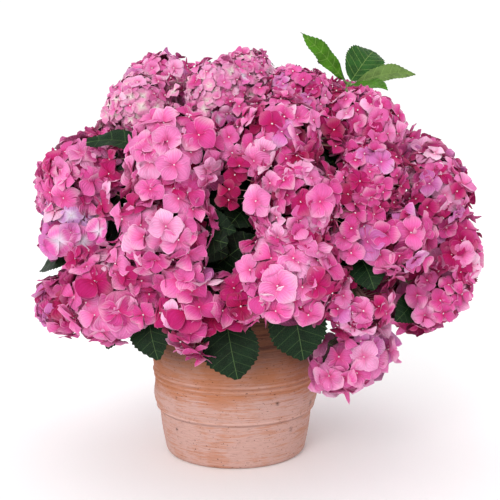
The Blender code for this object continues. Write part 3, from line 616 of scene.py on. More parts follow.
def leaf_tissue(name, colour, vein_colour, veined):
    """Hydrangea leaf: leathery blade with a waxed skin, quilted between pale netted veins.

    The wax gives a soft broad gloss; side veins are about 14 mm apart and the net between them 2 to 3 mm.
    """
    material, node, shader = new_material(f"leaf_tissue_{name}", Roughness=0.42, Specular_IOR_Level=0.12)
    mark = node("Attribute", out="Vector", attribute_name="mark")
    phase, away, chance = node("SeparateXYZ", (mark,), None)
    place = node("TexCoord", out="Object")
    wave = node("Math", (node("Math", (phase, math.pi), **TIMES),), operation="SINE")
    distance = node("Math", (wave,), operation="ABSOLUTE")
    side_vein = node("MapRange", (distance, 0.015, 0.11, veined, 0.0), **STEP)
    midrib = node("MapRange", (away, 0.005, 0.018, 0.70, 0.0), **STEP)
    vein = node("Math", (side_vein, midrib), operation="MAXIMUM")
    cloud = node("TexNoise", {"Vector": place, "Scale": 1.0 / 0.016, "Detail": 3.0, "Roughness": 0.55})
    patch = node("MapRange", (cloud, 0.35, 0.65, 0.0, 1.0), **STEP)
    net = node("TexVoronoi", {"Vector": place, "Scale": 380.0}, "Distance", feature="DISTANCE_TO_EDGE")
    net_line = node("MapRange", (net, 0.0, 0.10, 0.10, 0.0), **STEP)
    tone = rgba(colour)
    for share, over in ((patch, np.array(colour) * 0.62), (net_line, vein_colour), (vein, vein_colour)):
        tone = node("Mix", {0: share, 6: tone, 7: rgba(over)}, 2, **LAYER)
    shade = node("MapRange", (chance, 0.0, 1.0, 0.82, 1.12), **STEP)
    tone = node("HueSaturation", {"Color": tone, "Value": shade})
    quilt = node("MapRange", (net, 0.0, 0.25, 0.0, 1.0), **STEP)
    relief = node("Math", (quilt, vein), operation="SUBTRACT")
    return finish_surface(material, shader, tone, relief, 0.5, 0.0006)


def fired_clay(pot):
    """Thrown terracotta: unglazed, matt, lime bloom low down, bare clay above, damp clay with painted shade at
    the rim.

    Water draws lime out of the clay in clouds 20 to 40 mm wide, streaked level by the thrown rings. Patterns
    that are stretched flat by a factor give the streaks: name, factor, size in metres, detail, roughness.
    """
    material, node, shader = new_material("fired_terracotta", Roughness=0.9, Specular_IOR_Level=0.25)
    place = node("TexCoord", out="Object")
    height = node("SeparateXYZ", (place,), "Z")
    patterns = (("cloud", 1.0, 0.045, 4.0, 0.6), ("streak", 12.0, 0.06, 6.0, 0.7),
                ("thin", 22.0, 0.035, 4.0, 0.6), ("fine", 8.0, 0.008, 4.0, 0.65),
                ("pits", 1.6, 0.0036, 1.0, 0.55), ("grit", 1.0, 0.0012, 2.0, 0.55))
    pattern = {}
    for name, flat, size, detail, rough in patterns:
        level = node("Mapping", {"Vector": place, "Scale": (1.0, 1.0, flat)})
        pattern[name] = node("TexNoise", {"Vector": level, "Scale": 1.0 / size, "Detail": detail,
                                          "Roughness": rough})
    mix = node("Math", (pattern["cloud"], 0.35), **TIMES)
    for name, share in (("streak", 0.40), ("thin", 0.35)):
        mix = node("Math", (mix, node("Math", (pattern[name], share), **TIMES)), operation="ADD")
    low = node("Math", (node("MapRange", (height, 0.094, 0.112, 1.0, 0.0), **STEP),
                        node("MapRange", (mix, 0.46, 0.62, 0.35, 1.0), **STEP)), **TIMES)
    high = node("MapRange", (mix, 0.48, 0.66, 0.05, 0.60), **STEP)
    bloom = node("Math", (low, high), operation="ADD")
    tone = node("Mix", {0: bloom, 6: rgba(pot.clay), 7: rgba(pot.bloom)}, 2, **LAYER)
    # Darker towards the rim: damp clay, and painted shade where the flowers hang over the upper wall.
    damp_and_shade = node("Math", (node("MapRange", (height, 0.118, 0.190, 0.0, 1.0), **STEP),
                         node("MapRange", (pattern["streak"], 0.35, 0.65, 0.7, 1.0), **STEP)), **TIMES)
    tone = node("Mix", {0: damp_and_shade, 6: tone, 7: rgba(pot.dark_clay_and_shade)}, 2, **LAYER)
    stain = node("MapRange", (pattern["fine"], 0.54, 0.70, 0.0, 0.34), **STEP)
    tone = node("Mix", {0: stain, 6: tone, 7: rgba(pot.dark_clay_and_shade)}, 2, **LAYER)
    # Painted highlight and painted shade: a pale line on each ridge that stands out and a dark line in each
    # groove, broken into patches.
    patchy = node("MapRange", (pattern["cloud"], 0.35, 0.60, 0.35, 1.0), **STEP)
    for middle, half, depth in RIDGES:
        apart = node("Math", (node("Math", (height, middle), operation="SUBTRACT"),), operation="ABSOLUTE")
        ridge_light_and_shade = node("MapRange", (apart, 0.0, half * 1.4, min(0.6, abs(depth) * 420.0), 0.0), **STEP)
        ridge_light_and_shade = node("Math", (ridge_light_and_shade, patchy), **TIMES)
        over = np.array(pot.bloom) * 1.25 if depth > 0.0 else pot.dark_clay_and_shade
        tone = node("Mix", {0: ridge_light_and_shade, 6: tone, 7: rgba(over)}, 2, **LAYER)
    for *middle, radius in SMUDGES:
        apart = node("VectorMath", (place, middle), "Value", operation="DISTANCE")
        spot = node("Math", (node("MapRange", (apart, 0.0, radius, 0.95, 0.0), **STEP),
                             node("MapRange", (pattern["fine"], 0.40, 0.60, 0.25, 1.0), **STEP)), **TIMES)
        tone = node("Mix", {0: spot, 6: tone, 7: rgba(np.array(pot.dark_clay_and_shade) * 0.6)}, 2, **LAYER)
    pit = node("MapRange", (pattern["pits"], 0.69, 0.74, 0.0, 0.75), **STEP)
    tone = node("Mix", {0: pit, 6: tone, 7: rgba(pot.dark_clay_and_shade)}, 2, **LAYER)
    relief = node("Math", (pattern["fine"], node("Math", (pattern["grit"], 0.6), **TIMES)), operation="ADD")
    return finish_surface(material, shader, tone, relief, 0.45, 0.0006)


def mottled(name, light, dark, size, stretch=(1.0, 1.0, 1.0), **finish):
    """A matt surface that wanders between two colours in patches of a size, with the same pattern raised."""
    material, node, shader = new_material(name, **finish)
    place = node("Mapping", {"Vector": node("TexCoord", out="Object"), "Scale": stretch})
    cloud = node("TexNoise", {"Vector": place, "Scale": 1.0 / size, "Detail": 4.0, "Roughness": 0.55})
    share = node("MapRange", (cloud, 0.36, 0.64, 0.0, 1.0), **STEP)
    tone = node("Mix", {0: share, 6: rgba(dark), 7: rgba(light)}, 2, **LAYER)
    return finish_surface(material, shader, tone, cloud, 0.6, size * 0.15)


def turned_grid(profile, sides, relief=None):
    """Points of a profile of (radius, height) carried round Z, moved out by relief(points) where given."""
    profile = np.asarray(profile, dtype=float)
    angle = 2.0 * math.pi * np.arange(sides) / sides
    radius = profile[:, 0][:, None]
    points = np.stack([radius * np.cos(angle), radius * np.sin(angle),
                       np.broadcast_to(profile[:, 1][:, None], (len(profile), sides))], axis=-1)
    if relief is not None:
        points = relief(points)
    return points.reshape(1, -1, 3)


def turned_faces(rows, sides):
    """Faces of a turned grid, closed by a fan to the middle of its first and last ring."""
    return grid_faces(rows, sides, closed=True) + [tuple(range(sides))[::-1],
                                                   tuple(range((rows - 1) * sides, rows * sides))]


def wall_profile(pot, top, rim):
    """Outline of the pot from the underside, up the outside, over the lip and down to the inside floor.

    The wall is one smooth curve through the measured radii; beads are raised on it as bell curves.
    """
    knots = np.array([(0.010, 0.1045), (0.022, 0.1070), (0.030, 0.1084), (0.040, 0.1101), (0.050, 0.1112),
                      (0.060, 0.1123), (0.065, 0.1132), (0.069, 0.1158), (0.073, 0.1176), (0.079, 0.1199),
                      (0.085, 0.1214), (0.090, 0.1219), (0.096, 0.1213), (0.102, 0.1203), (0.108, 0.1199),
                      (0.114, 0.1204), (0.120, 0.1214), (0.126, 0.1221), (0.134, 0.1222),
                      (top - pot.lip, rim - 0.004)])
    heights = np.concatenate([np.arange(0.010, 0.125, 0.0009), np.arange(0.125, top - pot.lip, 0.0016)])
    radii = np.interp(heights, knots[:, 0], knots[:, 1])
    kernel = np.hanning(7)
    padded = np.pad(radii, 3, mode="edge")
    radii = np.convolve(padded, kernel / kernel.sum(), mode="valid")
    for middle, half, depth in RIDGES:
        radii += depth * np.exp(-((heights - middle) / half) ** 2)
    foot = np.linspace(0.0, math.pi / 2.0, 12)[1:-1]
    outline = [(0.0, 0.0), (0.05, 0.0), (0.0955, 0.0)]
    outline += [(0.0955 + 0.009 * math.sin(a), 0.010 * (1.0 - math.cos(a))) for a in foot]
    outline += list(zip(radii, heights))
    half = pot.lip / 2.0
    turn = np.linspace(0.0, math.pi, 15)
    outline += [(rim - half + half * math.cos(a), top - half + half * math.sin(a)) for a in turn]
    inside = np.linspace(top - pot.lip, 0.020, 24)
    outline += [(np.interp(h, knots[:, 0], knots[:, 1]) - pot.wall, h) for h in inside]
    outline += [(0.090, 0.014), (0.05, 0.014), (0.0, 0.014)]
    return outline


def turn_pot(pot):
    """The clay pot: its outline turned about Z, with finger rings and a slight wobble in the outer wall."""
    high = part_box("pot")[1]
    rim, top = high.x, high.z
    profile = wall_profile(pot, top, rim)

    def thrown(points):
        """Moves each wall point out by finger rings that climb slowly round, and by a soft wobble."""
        radius = np.linalg.norm(points[..., :2], axis=-1, keepdims=True)
        angle = np.arctan2(points[..., 1], points[..., 0])
        climb = points[..., 2] / pot.ring_pitch + angle / (2.0 * math.pi)
        rings = np.sin(2.0 * math.pi * climb) * (0.6 + 0.4 * ripple(points, 0.09, 5))
        wander = pot.wobble * ripple(points, 0.16, 6)
        stray = pot.ring_depth * rings + wander + 0.0001 * ripple(points, 0.006, 7)
        on_wall = np.clip((radius[..., 0] - 0.095) / 0.012, 0.0, 1.0)
        scale = 1.0 + (stray * on_wall)[..., None] / np.maximum(radius, 0.01)
        return points * np.concatenate([scale, scale, np.ones_like(scale)], axis=-1)

    points = turned_grid(profile, pot.sides, thrown)
    faces = turned_faces(len(profile), pot.sides)
    add_piece("clay_pot", [(points, faces, None)], fired_clay(pot), ("pot",))


def fill_soil(pot):
    """The soil: a turned form whose top is raised in crumbs of 3 to 8 mm."""
    low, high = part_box("soil")
    edge = high.x - 0.0004
    rings = np.linspace(edge, 0.0, 46)
    profile = [(0.0, low.z), (0.09, low.z)] + [(r, SOIL_TOP + SOIL_CROWN * (1.0 - r / edge)) for r in rings]

    def crumbs(points):
        """Raises and sinks the top by a coarse and a fine relief."""
        top = (points[..., 2] > SOIL_TOP - 0.001)
        lift = 0.0016 * ripple(points, 0.009, 8) + 0.0009 * ripple(points, 0.0035, 9)
        points = points.copy()
        points[..., 2] += np.where(top, lift - 0.0012, 0.0)
        return points

    points = turned_grid(profile, SOIL_SIDES, crumbs)
    soil = mottled("potting_soil", pot.soil, linear("#15100c"), 0.004, Roughness=0.95, Specular_IOR_Level=0.2)
    faces = turned_faces(len(profile), SOIL_SIDES)
    add_piece("crumbled_soil", [(points, faces, None)], soil, ("soil",))


def stub_seats():
    """Middle and outward direction of each flat side of the stub."""
    angle = 2.0 * math.pi * (np.arange(STUB_SIDES) + 0.5) / STUB_SIDES
    inner = math.cos(math.pi / STUB_SIDES)
    run = (STUB_RADIUS - STUB_TOP_RADIUS) * inner
    slope = unit(np.stack([STUB_HEIGHT * np.cos(angle), STUB_HEIGHT * np.sin(angle),
                           np.full(STUB_SIDES, run)], axis=-1))
    radius = (STUB_RADIUS + STUB_TOP_RADIUS) / 2.0 * inner
    height = SOIL_TOP + SOIL_CROWN + STUB_HEIGHT / 2.0
    seat = np.stack([radius * np.cos(angle), radius * np.sin(angle), np.full(STUB_SIDES, height)], axis=-1)
    return seat, slope


def cane_places():
    """Seat, its direction and knuckle of each cane: ten round the stub by turns low and high, one on top."""
    places = []
    for k, (seat, slope) in enumerate(zip(*stub_seats())):
        azimuth = math.degrees(math.atan2(seat[0], -seat[1]))
        level = KNUCKLE_LOW if k % 2 == 0 else KNUCKLE_HIGH
        places.append((seat, slope, crown_point(azimuth, *level)))
    top = np.array([0.0, 0.0, SOIL_TOP + SOIL_CROWN + STUB_HEIGHT])
    places.append((top, np.array([0.0, 0.0, 1.0]), crown_point(0.0, *KNUCKLE_TOP)))
    return places


def grow_canes(leaves):
    """Woody canes with rough bark, swollen at leaf scars and at the knuckle, and the stub they rise from.

    A cane's radius tapers along its curve, swells as a bell curve at each scar, and carries a fine relief.
    """
    rings, sides = 64, 14
    thick, thin = CANE_RADII
    paths = []
    for seat, slope, knuckle in cane_places():
        control = seat + slope * np.linalg.norm(knuckle - seat) * CANE_SPRING
        paths.append(curve_points(seat - slope * 0.004, control, knuckle, rings))
    paths = np.array(paths)
    share = np.linspace(0.0, 1.0, rings)
    radii = thick + (thin - thick) * share
    for scar in (0.22, 0.42, 0.60, 0.76):
        radii = radii + 0.0011 * np.exp(-((share - scar) / 0.012) ** 2)
    radii = radii + (KNUCKLE_RADIUS - thin) * np.exp(-((share - 1.0) / 0.05) ** 2)
    points, faces = tubes(paths, radii, sides)
    out = points - np.repeat(paths, sides, axis=1)
    points = points + out * (0.10 * ripple(points * np.array([1.0, 1.0, 0.35]), 0.004, 11))[..., None]
    bark = mottled("stringy_bark", leaves.bark, leaves.bark_dark, 0.006, (1.0, 1.0, 0.3), Roughness=0.85)
    names = [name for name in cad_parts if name.startswith("cane_")]
    add_piece("woody_canes", [(points, faces, None)], bark, names)
    base = SOIL_TOP + SOIL_CROWN - 0.003
    outline = [(0.0, base)] + [(STUB_RADIUS - (STUB_RADIUS - STUB_TOP_RADIUS) * t ** 0.8, base + 0.033 * t)
                               for t in np.linspace(0.0, 1.0, 26)] + [(0.0, base + 0.0335)]

    def gnarled(points):
        """Knots and furrows up to 2 mm deep."""
        out = points * np.array([1.0, 1.0, 0.0])
        relief = 0.06 * ripple(points * np.array([1.0, 1.0, 0.5]), 0.014, 12)
        return points + out * (relief - 0.06)[..., None]

    points = turned_grid(outline, STUB_STEPS, gnarled)
    faces = turned_faces(len(outline), STUB_STEPS)
    add_piece("woody_stub", [(points, faces, None)], bark, ("root_crown",))


def head_places():
    """Every flower head as a dictionary: the ones in view, then the rows round the back."""
    table = [list(row) for row in HEADS_IN_VIEW]
    for row, elevation, reach, diameter, azimuths, colours in BACK_ROWS:
        for k, azimuth in enumerate(azimuths):
            table.append([f"{row}_{k + 1}", azimuth, elevation, reach, diameter, colours[k % len(colours)]])
    heads = []
    knuckles = np.array([place[2] for place in cane_places()])
    for name, azimuth, elevation, reach, diameter, colour in table:
        middle = crown_point(azimuth, elevation, reach)
        knuckle = knuckles[np.argmin(np.linalg.norm(knuckles - middle, axis=1))]
        control = (knuckle + middle) / 2.0 + np.array([0.0, 0.0, STEM_LIFT])
        heads.append({"name": name, "elevation": elevation, "middle": middle, "radius": diameter / 2000.0,
                      "colour": colour, "axis": unit(middle - AXIS_ROOT),
                      "stem": curve_points(knuckle, control, middle, STEM_POINTS)})
    draw = random.Random(SEED)
    for head in heads:
        head["phase"] = draw.uniform(0.0, 2.0 * math.pi)
        for k in range(round(SOLID_FLORETS_AT_120 * (head["radius"] / 0.060) ** 1.4)):
            draw.uniform(0.0, math.pi / 2.0)
    for head in heads:
        head["leaf_angle"] = draw.uniform(0.0, math.pi)
        head["leaf_draws"] = []
        for k in range(LEAVES_PER_HEAD):
            turn = draw.uniform(-LEAF_TURN, LEAF_TURN)
            head["leaf_draws"].append((turn, draw.uniform(*LEAF_LEAN), draw.uniform(*LEAF_LENGTH)))
    return heads


def shoot_stem():
    """The curve of the leafy shoot's stem, from the nearest knuckle to its tip."""
    tip = crown_point(*LEAFY_SHOOT[1:])
    start = min((place[2] for place in cane_places()), key=lambda knuckle: np.linalg.norm(knuckle - tip))
    return curve_points(start, (start + tip) / 2.0 + np.array([0.0, 0.0, STEM_LIFT]), tip, STEM_POINTS)


def room_share(head, heads, offsets):
    """The share of each offset from the head's middle that lies on its side of the planes between heads."""
    share = np.ones(len(offsets))
    for other in heads:
        step = other["middle"] - head["middle"]
        apart = np.linalg.norm(step)
        if other is head or apart >= head["radius"] + other["radius"]:
            continue
        limit = (apart ** 2 + head["radius"] ** 2 - other["radius"] ** 2) / (2.0 * apart)
        along = offsets @ (step / apart)
        share = np.where(along > 1e-9, np.minimum(share, limit / np.maximum(along, 1e-9)), share)
    return share


def seen_by_viewer(points):
    """Where points stand in the picture, in metres at the crown's middle: across, up and away."""
    step = np.asarray(points) - np.array(VIEWER)
    away = step[..., 1:2]
    return np.concatenate([step[..., :1] / away, step[..., 2:] / away, away], axis=-1) * np.array(
        [-VIEWER[1], -VIEWER[1], 1.0])


def hides_leaf(points, leaves, margin):
    """Whether each point stands, seen by the viewer, in front of the bare outer part of a leaf in view."""
    places = seen_by_viewer(points)
    hidden = np.zeros(len(points), dtype=bool)
    for root, tip, bare, beside in leaves:
        start, end = seen_by_viewer(root + (tip - root) * bare), seen_by_viewer(tip)
        run = end[:2] - start[:2]
        share = ((places[:, :2] - start[:2]) @ run / (run @ run)).clip(0.0, 1.0)
        aside = np.linalg.norm(places[:, :2] - start[:2] - share[:, None] * run, axis=-1)
        hidden |= (aside < beside + margin) & (places[:, 2] < start[2] + LEAF_BACK)
    return hidden


def inside_outline(points, middle, margin):
    """Points drawn in towards a head's middle until they are seen a margin inside the crown's outline."""
    turns = np.arange(len(OUTLINE) + 1) * 360.0 / len(OUTLINE)
    for _ in range(OUTLINE_PULLS):
        place = seen_by_viewer(points)[:, :2] - np.array(OUTLINE_MIDDLE)
        angle = np.degrees(np.arctan2(place[:, 0], place[:, 1])) % 360.0
        limit = np.interp(angle, turns, OUTLINE + OUTLINE[:1]) - margin
        beyond = np.linalg.norm(place, axis=-1) > limit
        points = np.where(beyond[:, None], middle + (points - middle) * OUTLINE_PULL, points)
    return points


def stalk_roots(head, directions):
    """Where the stalks of a head's florets fork off inside it."""
    return head["middle"] + (directions * FORK_OUT - head["axis"] * FORK_BACK) * head["radius"]


def head_florets(head, heads, count, depth, draw):
    """Centres, normals and stalk roots of a head's florets, on a spiral of even steps round its axis.

    The k-th floret stands at a cosine that falls evenly to the cover angle, a golden angle further round.
    """
    k = np.arange(count)
    rise = 1.0 - (k + 0.5) / count * (1.0 - math.cos(math.radians(COVER_ANGLE)))
    ring = np.sqrt(np.maximum(0.0, 1.0 - rise * rise))
    angle = head["phase"] + k * GOLDEN_ANGLE + draw.normal(0.0, 0.10, count)
    first, second = side_axes(head["axis"])
    directions = (head["axis"] * rise[:, None] + first * (ring * np.cos(angle))[:, None]
                  + second * (ring * np.sin(angle))[:, None])
    directions = unit(directions + draw.normal(0.0, 0.07, (count, 3)))
    room = room_share(head, heads, directions * head["radius"])
    kept = room > LEAST_ROOM
    directions, room = directions[kept], room[kept]
    amount = len(directions)
    reach = head["radius"] * draw.uniform(*depth, amount) * np.minimum(1.0, room + ROOM_OVER)
    centres = head["middle"] + directions * reach[:, None]
    normals = unit(directions + draw.normal(0.0, 0.22, (amount, 3)))
    return centres, normals, stalk_roots(head, directions)


def is_bridged(head, other):
    """Whether florets close the space between two heads that stand apart."""
    return (head["name"], other["name"]) in BRIDGED or (other["name"], head["name"]) in BRIDGED


def valley_florets(heads, flowers, draw):
    """Florets that fill the valleys where two heads meet: they stand on the circle in which the heads cut.

    Yields a head, the length of a sepal, centres, normals and stalk roots for each pair that meets.
    """
    middles = np.array([head["middle"] for head in heads])
    radii = np.array([head["radius"] for head in heads])
    for i, head in enumerate(heads):
        for other in heads[i + 1:]:
            step = other["middle"] - head["middle"]
            apart = np.linalg.norm(step)
            if apart > VALLEY_APART * (head["radius"] + other["radius"]) and not is_bridged(head, other):
                continue
            along = (apart ** 2 + head["radius"] ** 2 - other["radius"] ** 2) / (2.0 * apart)
            ring = math.sqrt(max(head["radius"] ** 2 - along ** 2, (VALLEY_LEAST * head["radius"]) ** 2))
            middle = head["middle"] + step / apart * along
            out = middle - AXIS_ROOT
            out = unit(out - step * (out @ step) / apart ** 2)
            aside = np.cross(step / apart, out)
            count = max(2, round(ring * (2.0 * VALLEY_ARC) / VALLEY_STEP))
            turn = np.linspace(-VALLEY_ARC, VALLEY_ARC, count) + draw.normal(0.0, 0.08, count)
            spokes = out * np.cos(turn)[:, None] + aside * np.sin(turn)[:, None]
            centres = middle + spokes * ring * draw.uniform(*VALLEY_DEPTH, (count, 1))
            others = np.linalg.norm(centres[:, None] - middles, axis=-1) / radii
            free = np.partition(others, 2, axis=1)[:, 2] > VALLEY_ROOM
            size = min(sepal_share(one, flowers) * one["radius"] for one in (head, other))
            normals = unit(spokes + draw.normal(0.0, 0.22, (count, 3)))
            pick = head if draw.uniform() < 0.5 else other
            roots = stalk_roots(pick, unit(centres - pick["middle"]))
            yield pick, size, centres[free], normals[free], roots[free]


SEPAL_ROWS = np.array([0.15, 0.36, 0.58, 0.78, 0.93])
SEPAL_COLUMNS = np.linspace(-1.0, 1.0, 5)


def sepals(centres, normals, spins, lengths, widths, bends, draw):
    """Sepals as blades that spring from a floret's middle and spread round it.

    At a share s of its length a sepal is wide as the sine of pi times s to the power 1.15, itself to a power
    that is small for a round sepal and near one for a pointed one; it rises by its first bend and turns down
    by its second, cups across as the square of the distance from its midrib and folds along it, and its rim
    waves. bends holds both bends and the power. Returns points and marks (along, across, chance).
    """
    count = len(centres)
    s = np.concatenate(([0.0], np.repeat(SEPAL_ROWS, len(SEPAL_COLUMNS)), [1.0]))
    v = np.concatenate(([0.0], np.tile(SEPAL_COLUMNS, len(SEPAL_ROWS)), [0.0]))
    outline = np.sin(math.pi * s ** 1.15).clip(0.0) ** bends[:, 2:3]
    half = widths[:, None] / 2.0 * outline
    skew = draw.normal(0.0, 0.10, (count, 1))
    angle = bends[:, :1] + bends[:, 1:2] * s / 2.0
    x = lengths[:, None] * s * np.cos(angle)
    z = lengths[:, None] * s * np.sin(angle)
    y = half * v + skew * lengths[:, None] * s * s
    cup = draw.normal(0.04, 0.22, (count, 1))
    fold = draw.uniform(-0.14, 0.46, (count, 1))
    wave = draw.uniform(0.08, 0.36, (count, 1)) * np.sin(draw.uniform(0, 6.3, (count, 1)) + 3.6 * v + 5.0 * s)
    z = z + half * (cup * v * v + fold * np.abs(v) + wave * s)
    x = x + 0.06 * half * np.cos(4.7 * v + draw.uniform(0, 6.3, (count, 1))) * s * np.abs(v)
    first, second = side_axes(normals)
    forward = first * np.cos(spins)[:, None] + second * np.sin(spins)[:, None]
    side = np.cross(normals, forward)
    points = (centres[:, None] + forward[:, None] * x[..., None] + side[:, None] * y[..., None]
              + normals[:, None] * z[..., None])
    chance = draw.uniform(0.0, 1.0, (count, 1))
    marks = np.stack(np.broadcast_arrays(s, np.abs(v), chance), axis=-1)
    return points, marks


def sepal_share(head, flowers):
    """Length of a head's sepals as a share of its radius: longer the lower a head hangs.

    They are short on young heads, and a little shorter on the deep pink heads of the plant's right side.
    """
    if head["colour"] == "young":
        return flowers.young_sepal
    tight = head["colour"] in TIGHT_COLOURS and head["middle"][0] > TIGHT_SIDE
    hanging = min(1.2, max(0.75, 1.10 - 0.005 * head["elevation"]))
    return flowers.sepal * (TIGHT_SCALE if tight else 1.0) * hanging


def beside_florets(centres, head, number):
    """Whether each place of a head's outer layer, whose number is 0, is taken by a floret that stands out."""
    taken, _, sizes, _, _ = florets_in_view(head)
    if number or not len(taken):
        return np.zeros(len(centres), bool)
    return (np.linalg.norm(centres[:, None] - taken, axis=-1) < sizes * VIEW_MARGIN).any(axis=1)


def florets_in_view(head):
    """Centres, normals, sepal lengths, tints and stalk roots of a head's florets that stand out."""
    rows = [row[1:] for row in FLORETS_IN_VIEW if row[0] == head["name"]]
    places = np.array([row[:2] for row in rows]).reshape(-1, 2)
    towards = unit(np.array(VIEWER) - head["middle"])
    right = unit(np.cross((0.0, 0.0, 1.0), towards))
    steps = np.column_stack([places, np.sqrt(1.0 - (places ** 2).sum(axis=1))])
    steps = steps @ np.stack([right, np.cross(towards, right), towards])
    centres = head["middle"] + steps * head["radius"] * FLORET_IN_VIEW_DEPTH
    roots = head["middle"] + steps * head["radius"] * FORK_OUT
    sizes = np.array([row[2] for row in rows])
    tints = np.array([TINTS.index(row[3]) for row in rows], int)
    return centres, unit(steps + 0.5 * towards), sizes, tints, roots


def open_florets(flowers):
    """All florets: their sepals in a piece for each tint, beads in their middles and stalks below them."""
    draw = np.random.default_rng(LOOKS_SEED)
    heads = head_places()
    bare = [(root, tip, *clear) for root, tip, _, _, _, clear in leaves_of_solids(heads) if clear]
    rows = {tint: [] for tint in TINTS}
    beads, stalks, rays = [], [], []
    for head in heads:
        share = sepal_share(head, flowers)
        size = share * head["radius"]
        more = (flowers.sepal / share) ** 2
        for number, (setting, depth, scale) in enumerate(LAYERS):
            count = round(getattr(flowers, setting) * more)
            centres, normals, roots = head_florets(head, heads, count, depth, draw)
            centres = inside_outline(centres, head["middle"], size * scale * OUTLINE_MARGIN)
            free = ~hides_leaf(centres, bare, size * LEAF_MARGIN) & ~beside_florets(centres, head, number)
            centres, normals, roots = centres[free], normals[free], roots[free]
            amount = len(centres)
            tints = draw.choice(len(TINTS) - 1, amount, p=np.array(PALETTES[head["colour"]]))
            if number == 1:
                # Inner florets take deeper tints than the head's own, as painted shade inside the head.
                inside = ("pink", "magenta") if head["colour"] in LIGHT_COLOURS else ("deep", "shade")
                tints = np.where(tints % 4 == 1, *(TINTS.index(tint) for tint in inside))
            elif head["colour"] == "young":
                opening = normals @ unit(np.array(OPENING_SIDE)) > OPENING_COSINE
                tints = np.where(opening, TINTS.index("cream"), tints)
            sizes = size * scale * draw.uniform(0.82, 1.18, amount)
            rows_of_florets(rows, centres, normals, sizes, tints, flowers, draw)
            if number == 0:
                beads.append(centres + normals * flowers.bead * 0.9)
            stalks.append((roots, centres))
            rays.append((np.broadcast_to(head["stem"][-3], roots.shape), roots))
        centres, normals, sizes, tints, roots = florets_in_view(head)
        rows_of_florets(rows, centres, normals, sizes, tints, flowers, np.random.default_rng(LOOKS_SEED + 2))
        beads.append(centres + normals * flowers.bead * 0.9)
        stalks.append((roots, centres))
    for head, size, centres, normals, roots in valley_florets(heads, flowers, draw):
        centres = inside_outline(centres, head["middle"], size * OUTLINE_MARGIN)
        free = ~hides_leaf(centres, bare, size * LEAF_MARGIN)
        centres, normals, roots = centres[free], normals[free], roots[free]
        tints = draw.choice(len(TINTS) - 1, len(centres), p=np.array(PALETTES[head["colour"]]))
        # Each tint one deeper, as painted shade in the valley between heads.
        tints = np.array([TINTS.index(tint) for tint in VALLEY_TINTS])[tints]
        sizes = size * draw.uniform(0.80, 1.12, len(centres))
        rows_of_florets(rows, centres, normals, sizes, tints, flowers, draw)
        beads.append(centres + normals * flowers.bead * 0.9)
        stalks.append((roots, centres))
    faces = blade_faces(len(SEPAL_ROWS), len(SEPAL_COLUMNS))
    eyes = {"lilac": flowers.white_eye, "eyed": flowers.white_eye, "cream": flowers.green_eye}
    for tint in TINTS:
        parts = [np.concatenate(part) for part in zip(*rows[tint])]
        points, marks = sepals(*parts, draw)
        names = [head["name"] for head in heads if MAIN_TINT[head["colour"]] == tint]
        tissue = sepal_tissue(tint, getattr(flowers, tint), eyes.get(tint))
        add_piece(f"sepals_{tint}", [(points, faces, marks)], tissue, names)
    add_beads(np.concatenate(beads), flowers)
    return stalks, rays


def rows_of_florets(rows, centres, normals, sizes, tints, flowers, draw):
    """Deals the sepals of some florets out to their tints: four to a floret, in two pairs, or five."""
    amount = len(centres)
    numbers = np.where(draw.uniform(size=amount) < 0.12, 5, 4)
    turn = draw.uniform(0.0, 2.0 * math.pi, amount)
    rise = draw.normal(0.12, 0.19, amount)
    droop = draw.normal(-0.50, 0.26, amount)
    point = draw.uniform(0.64, 1.16, amount)
    for number in (4, 5):
        for k in range(number):
            pick = numbers == number
            spins = turn[pick] + 2.0 * math.pi * k / number + draw.normal(0.0, 0.09, pick.sum())
            lengths = sizes[pick] * draw.uniform(0.90, 1.08, pick.sum())
            widths = lengths * flowers.sepal_width * draw.uniform(0.90, 1.12, pick.sum())
            lift = (0.0010 if k % 2 else 0.0) + 0.0004 * k
            places = centres[pick] + normals[pick] * lift
            bends = np.stack([rise[pick] + draw.normal(0.0, 0.11, pick.sum()),
                              droop[pick] + draw.normal(0.0, 0.16, pick.sum()),
                              point[pick] + draw.normal(0.0, 0.05, pick.sum())], axis=-1)
            for number_of_tint in np.unique(tints[pick]):
                some = tints[pick] == number_of_tint
                rows[TINTS[number_of_tint]].append((places[some], normals[pick][some], spins[some],
                                                    lengths[some], widths[some], bends[some]))


def add_beads(centres, flowers):
    """The bead in each floret's middle: a ball of twenty faces, on the golden ratio's corners."""
    golden = (1.0 + math.sqrt(5.0)) / 2.0
    corners = np.array([(a, b * golden, 0.0) for a in (-1, 1) for b in (-1, 1)])
    corners = unit(np.concatenate([np.roll(corners, shift, axis=1) for shift in range(3)]))
    near = np.linalg.norm(corners[:, None] - corners[None], axis=-1) < 1.2
    faces = [(a, b, c) for a in range(12) for b in range(a + 1, 12) for c in range(b + 1, 12)
             if near[a, b] and near[b, c] and near[a, c]]
    faces = [(a, b, c) if np.dot(np.cross(corners[b] - corners[a], corners[c] - corners[a]), corners[a]) > 0
             else (a, c, b) for a, b, c in faces]
    points = centres[:, None] + corners * flowers.bead
    bead = mottled("closed_bud_skin", flowers.bead_colour, np.array(flowers.bead_colour) * 0.8, 0.002,
                   Roughness=0.45)
    add_piece("floret_beads", [(points, faces, None)], bead)


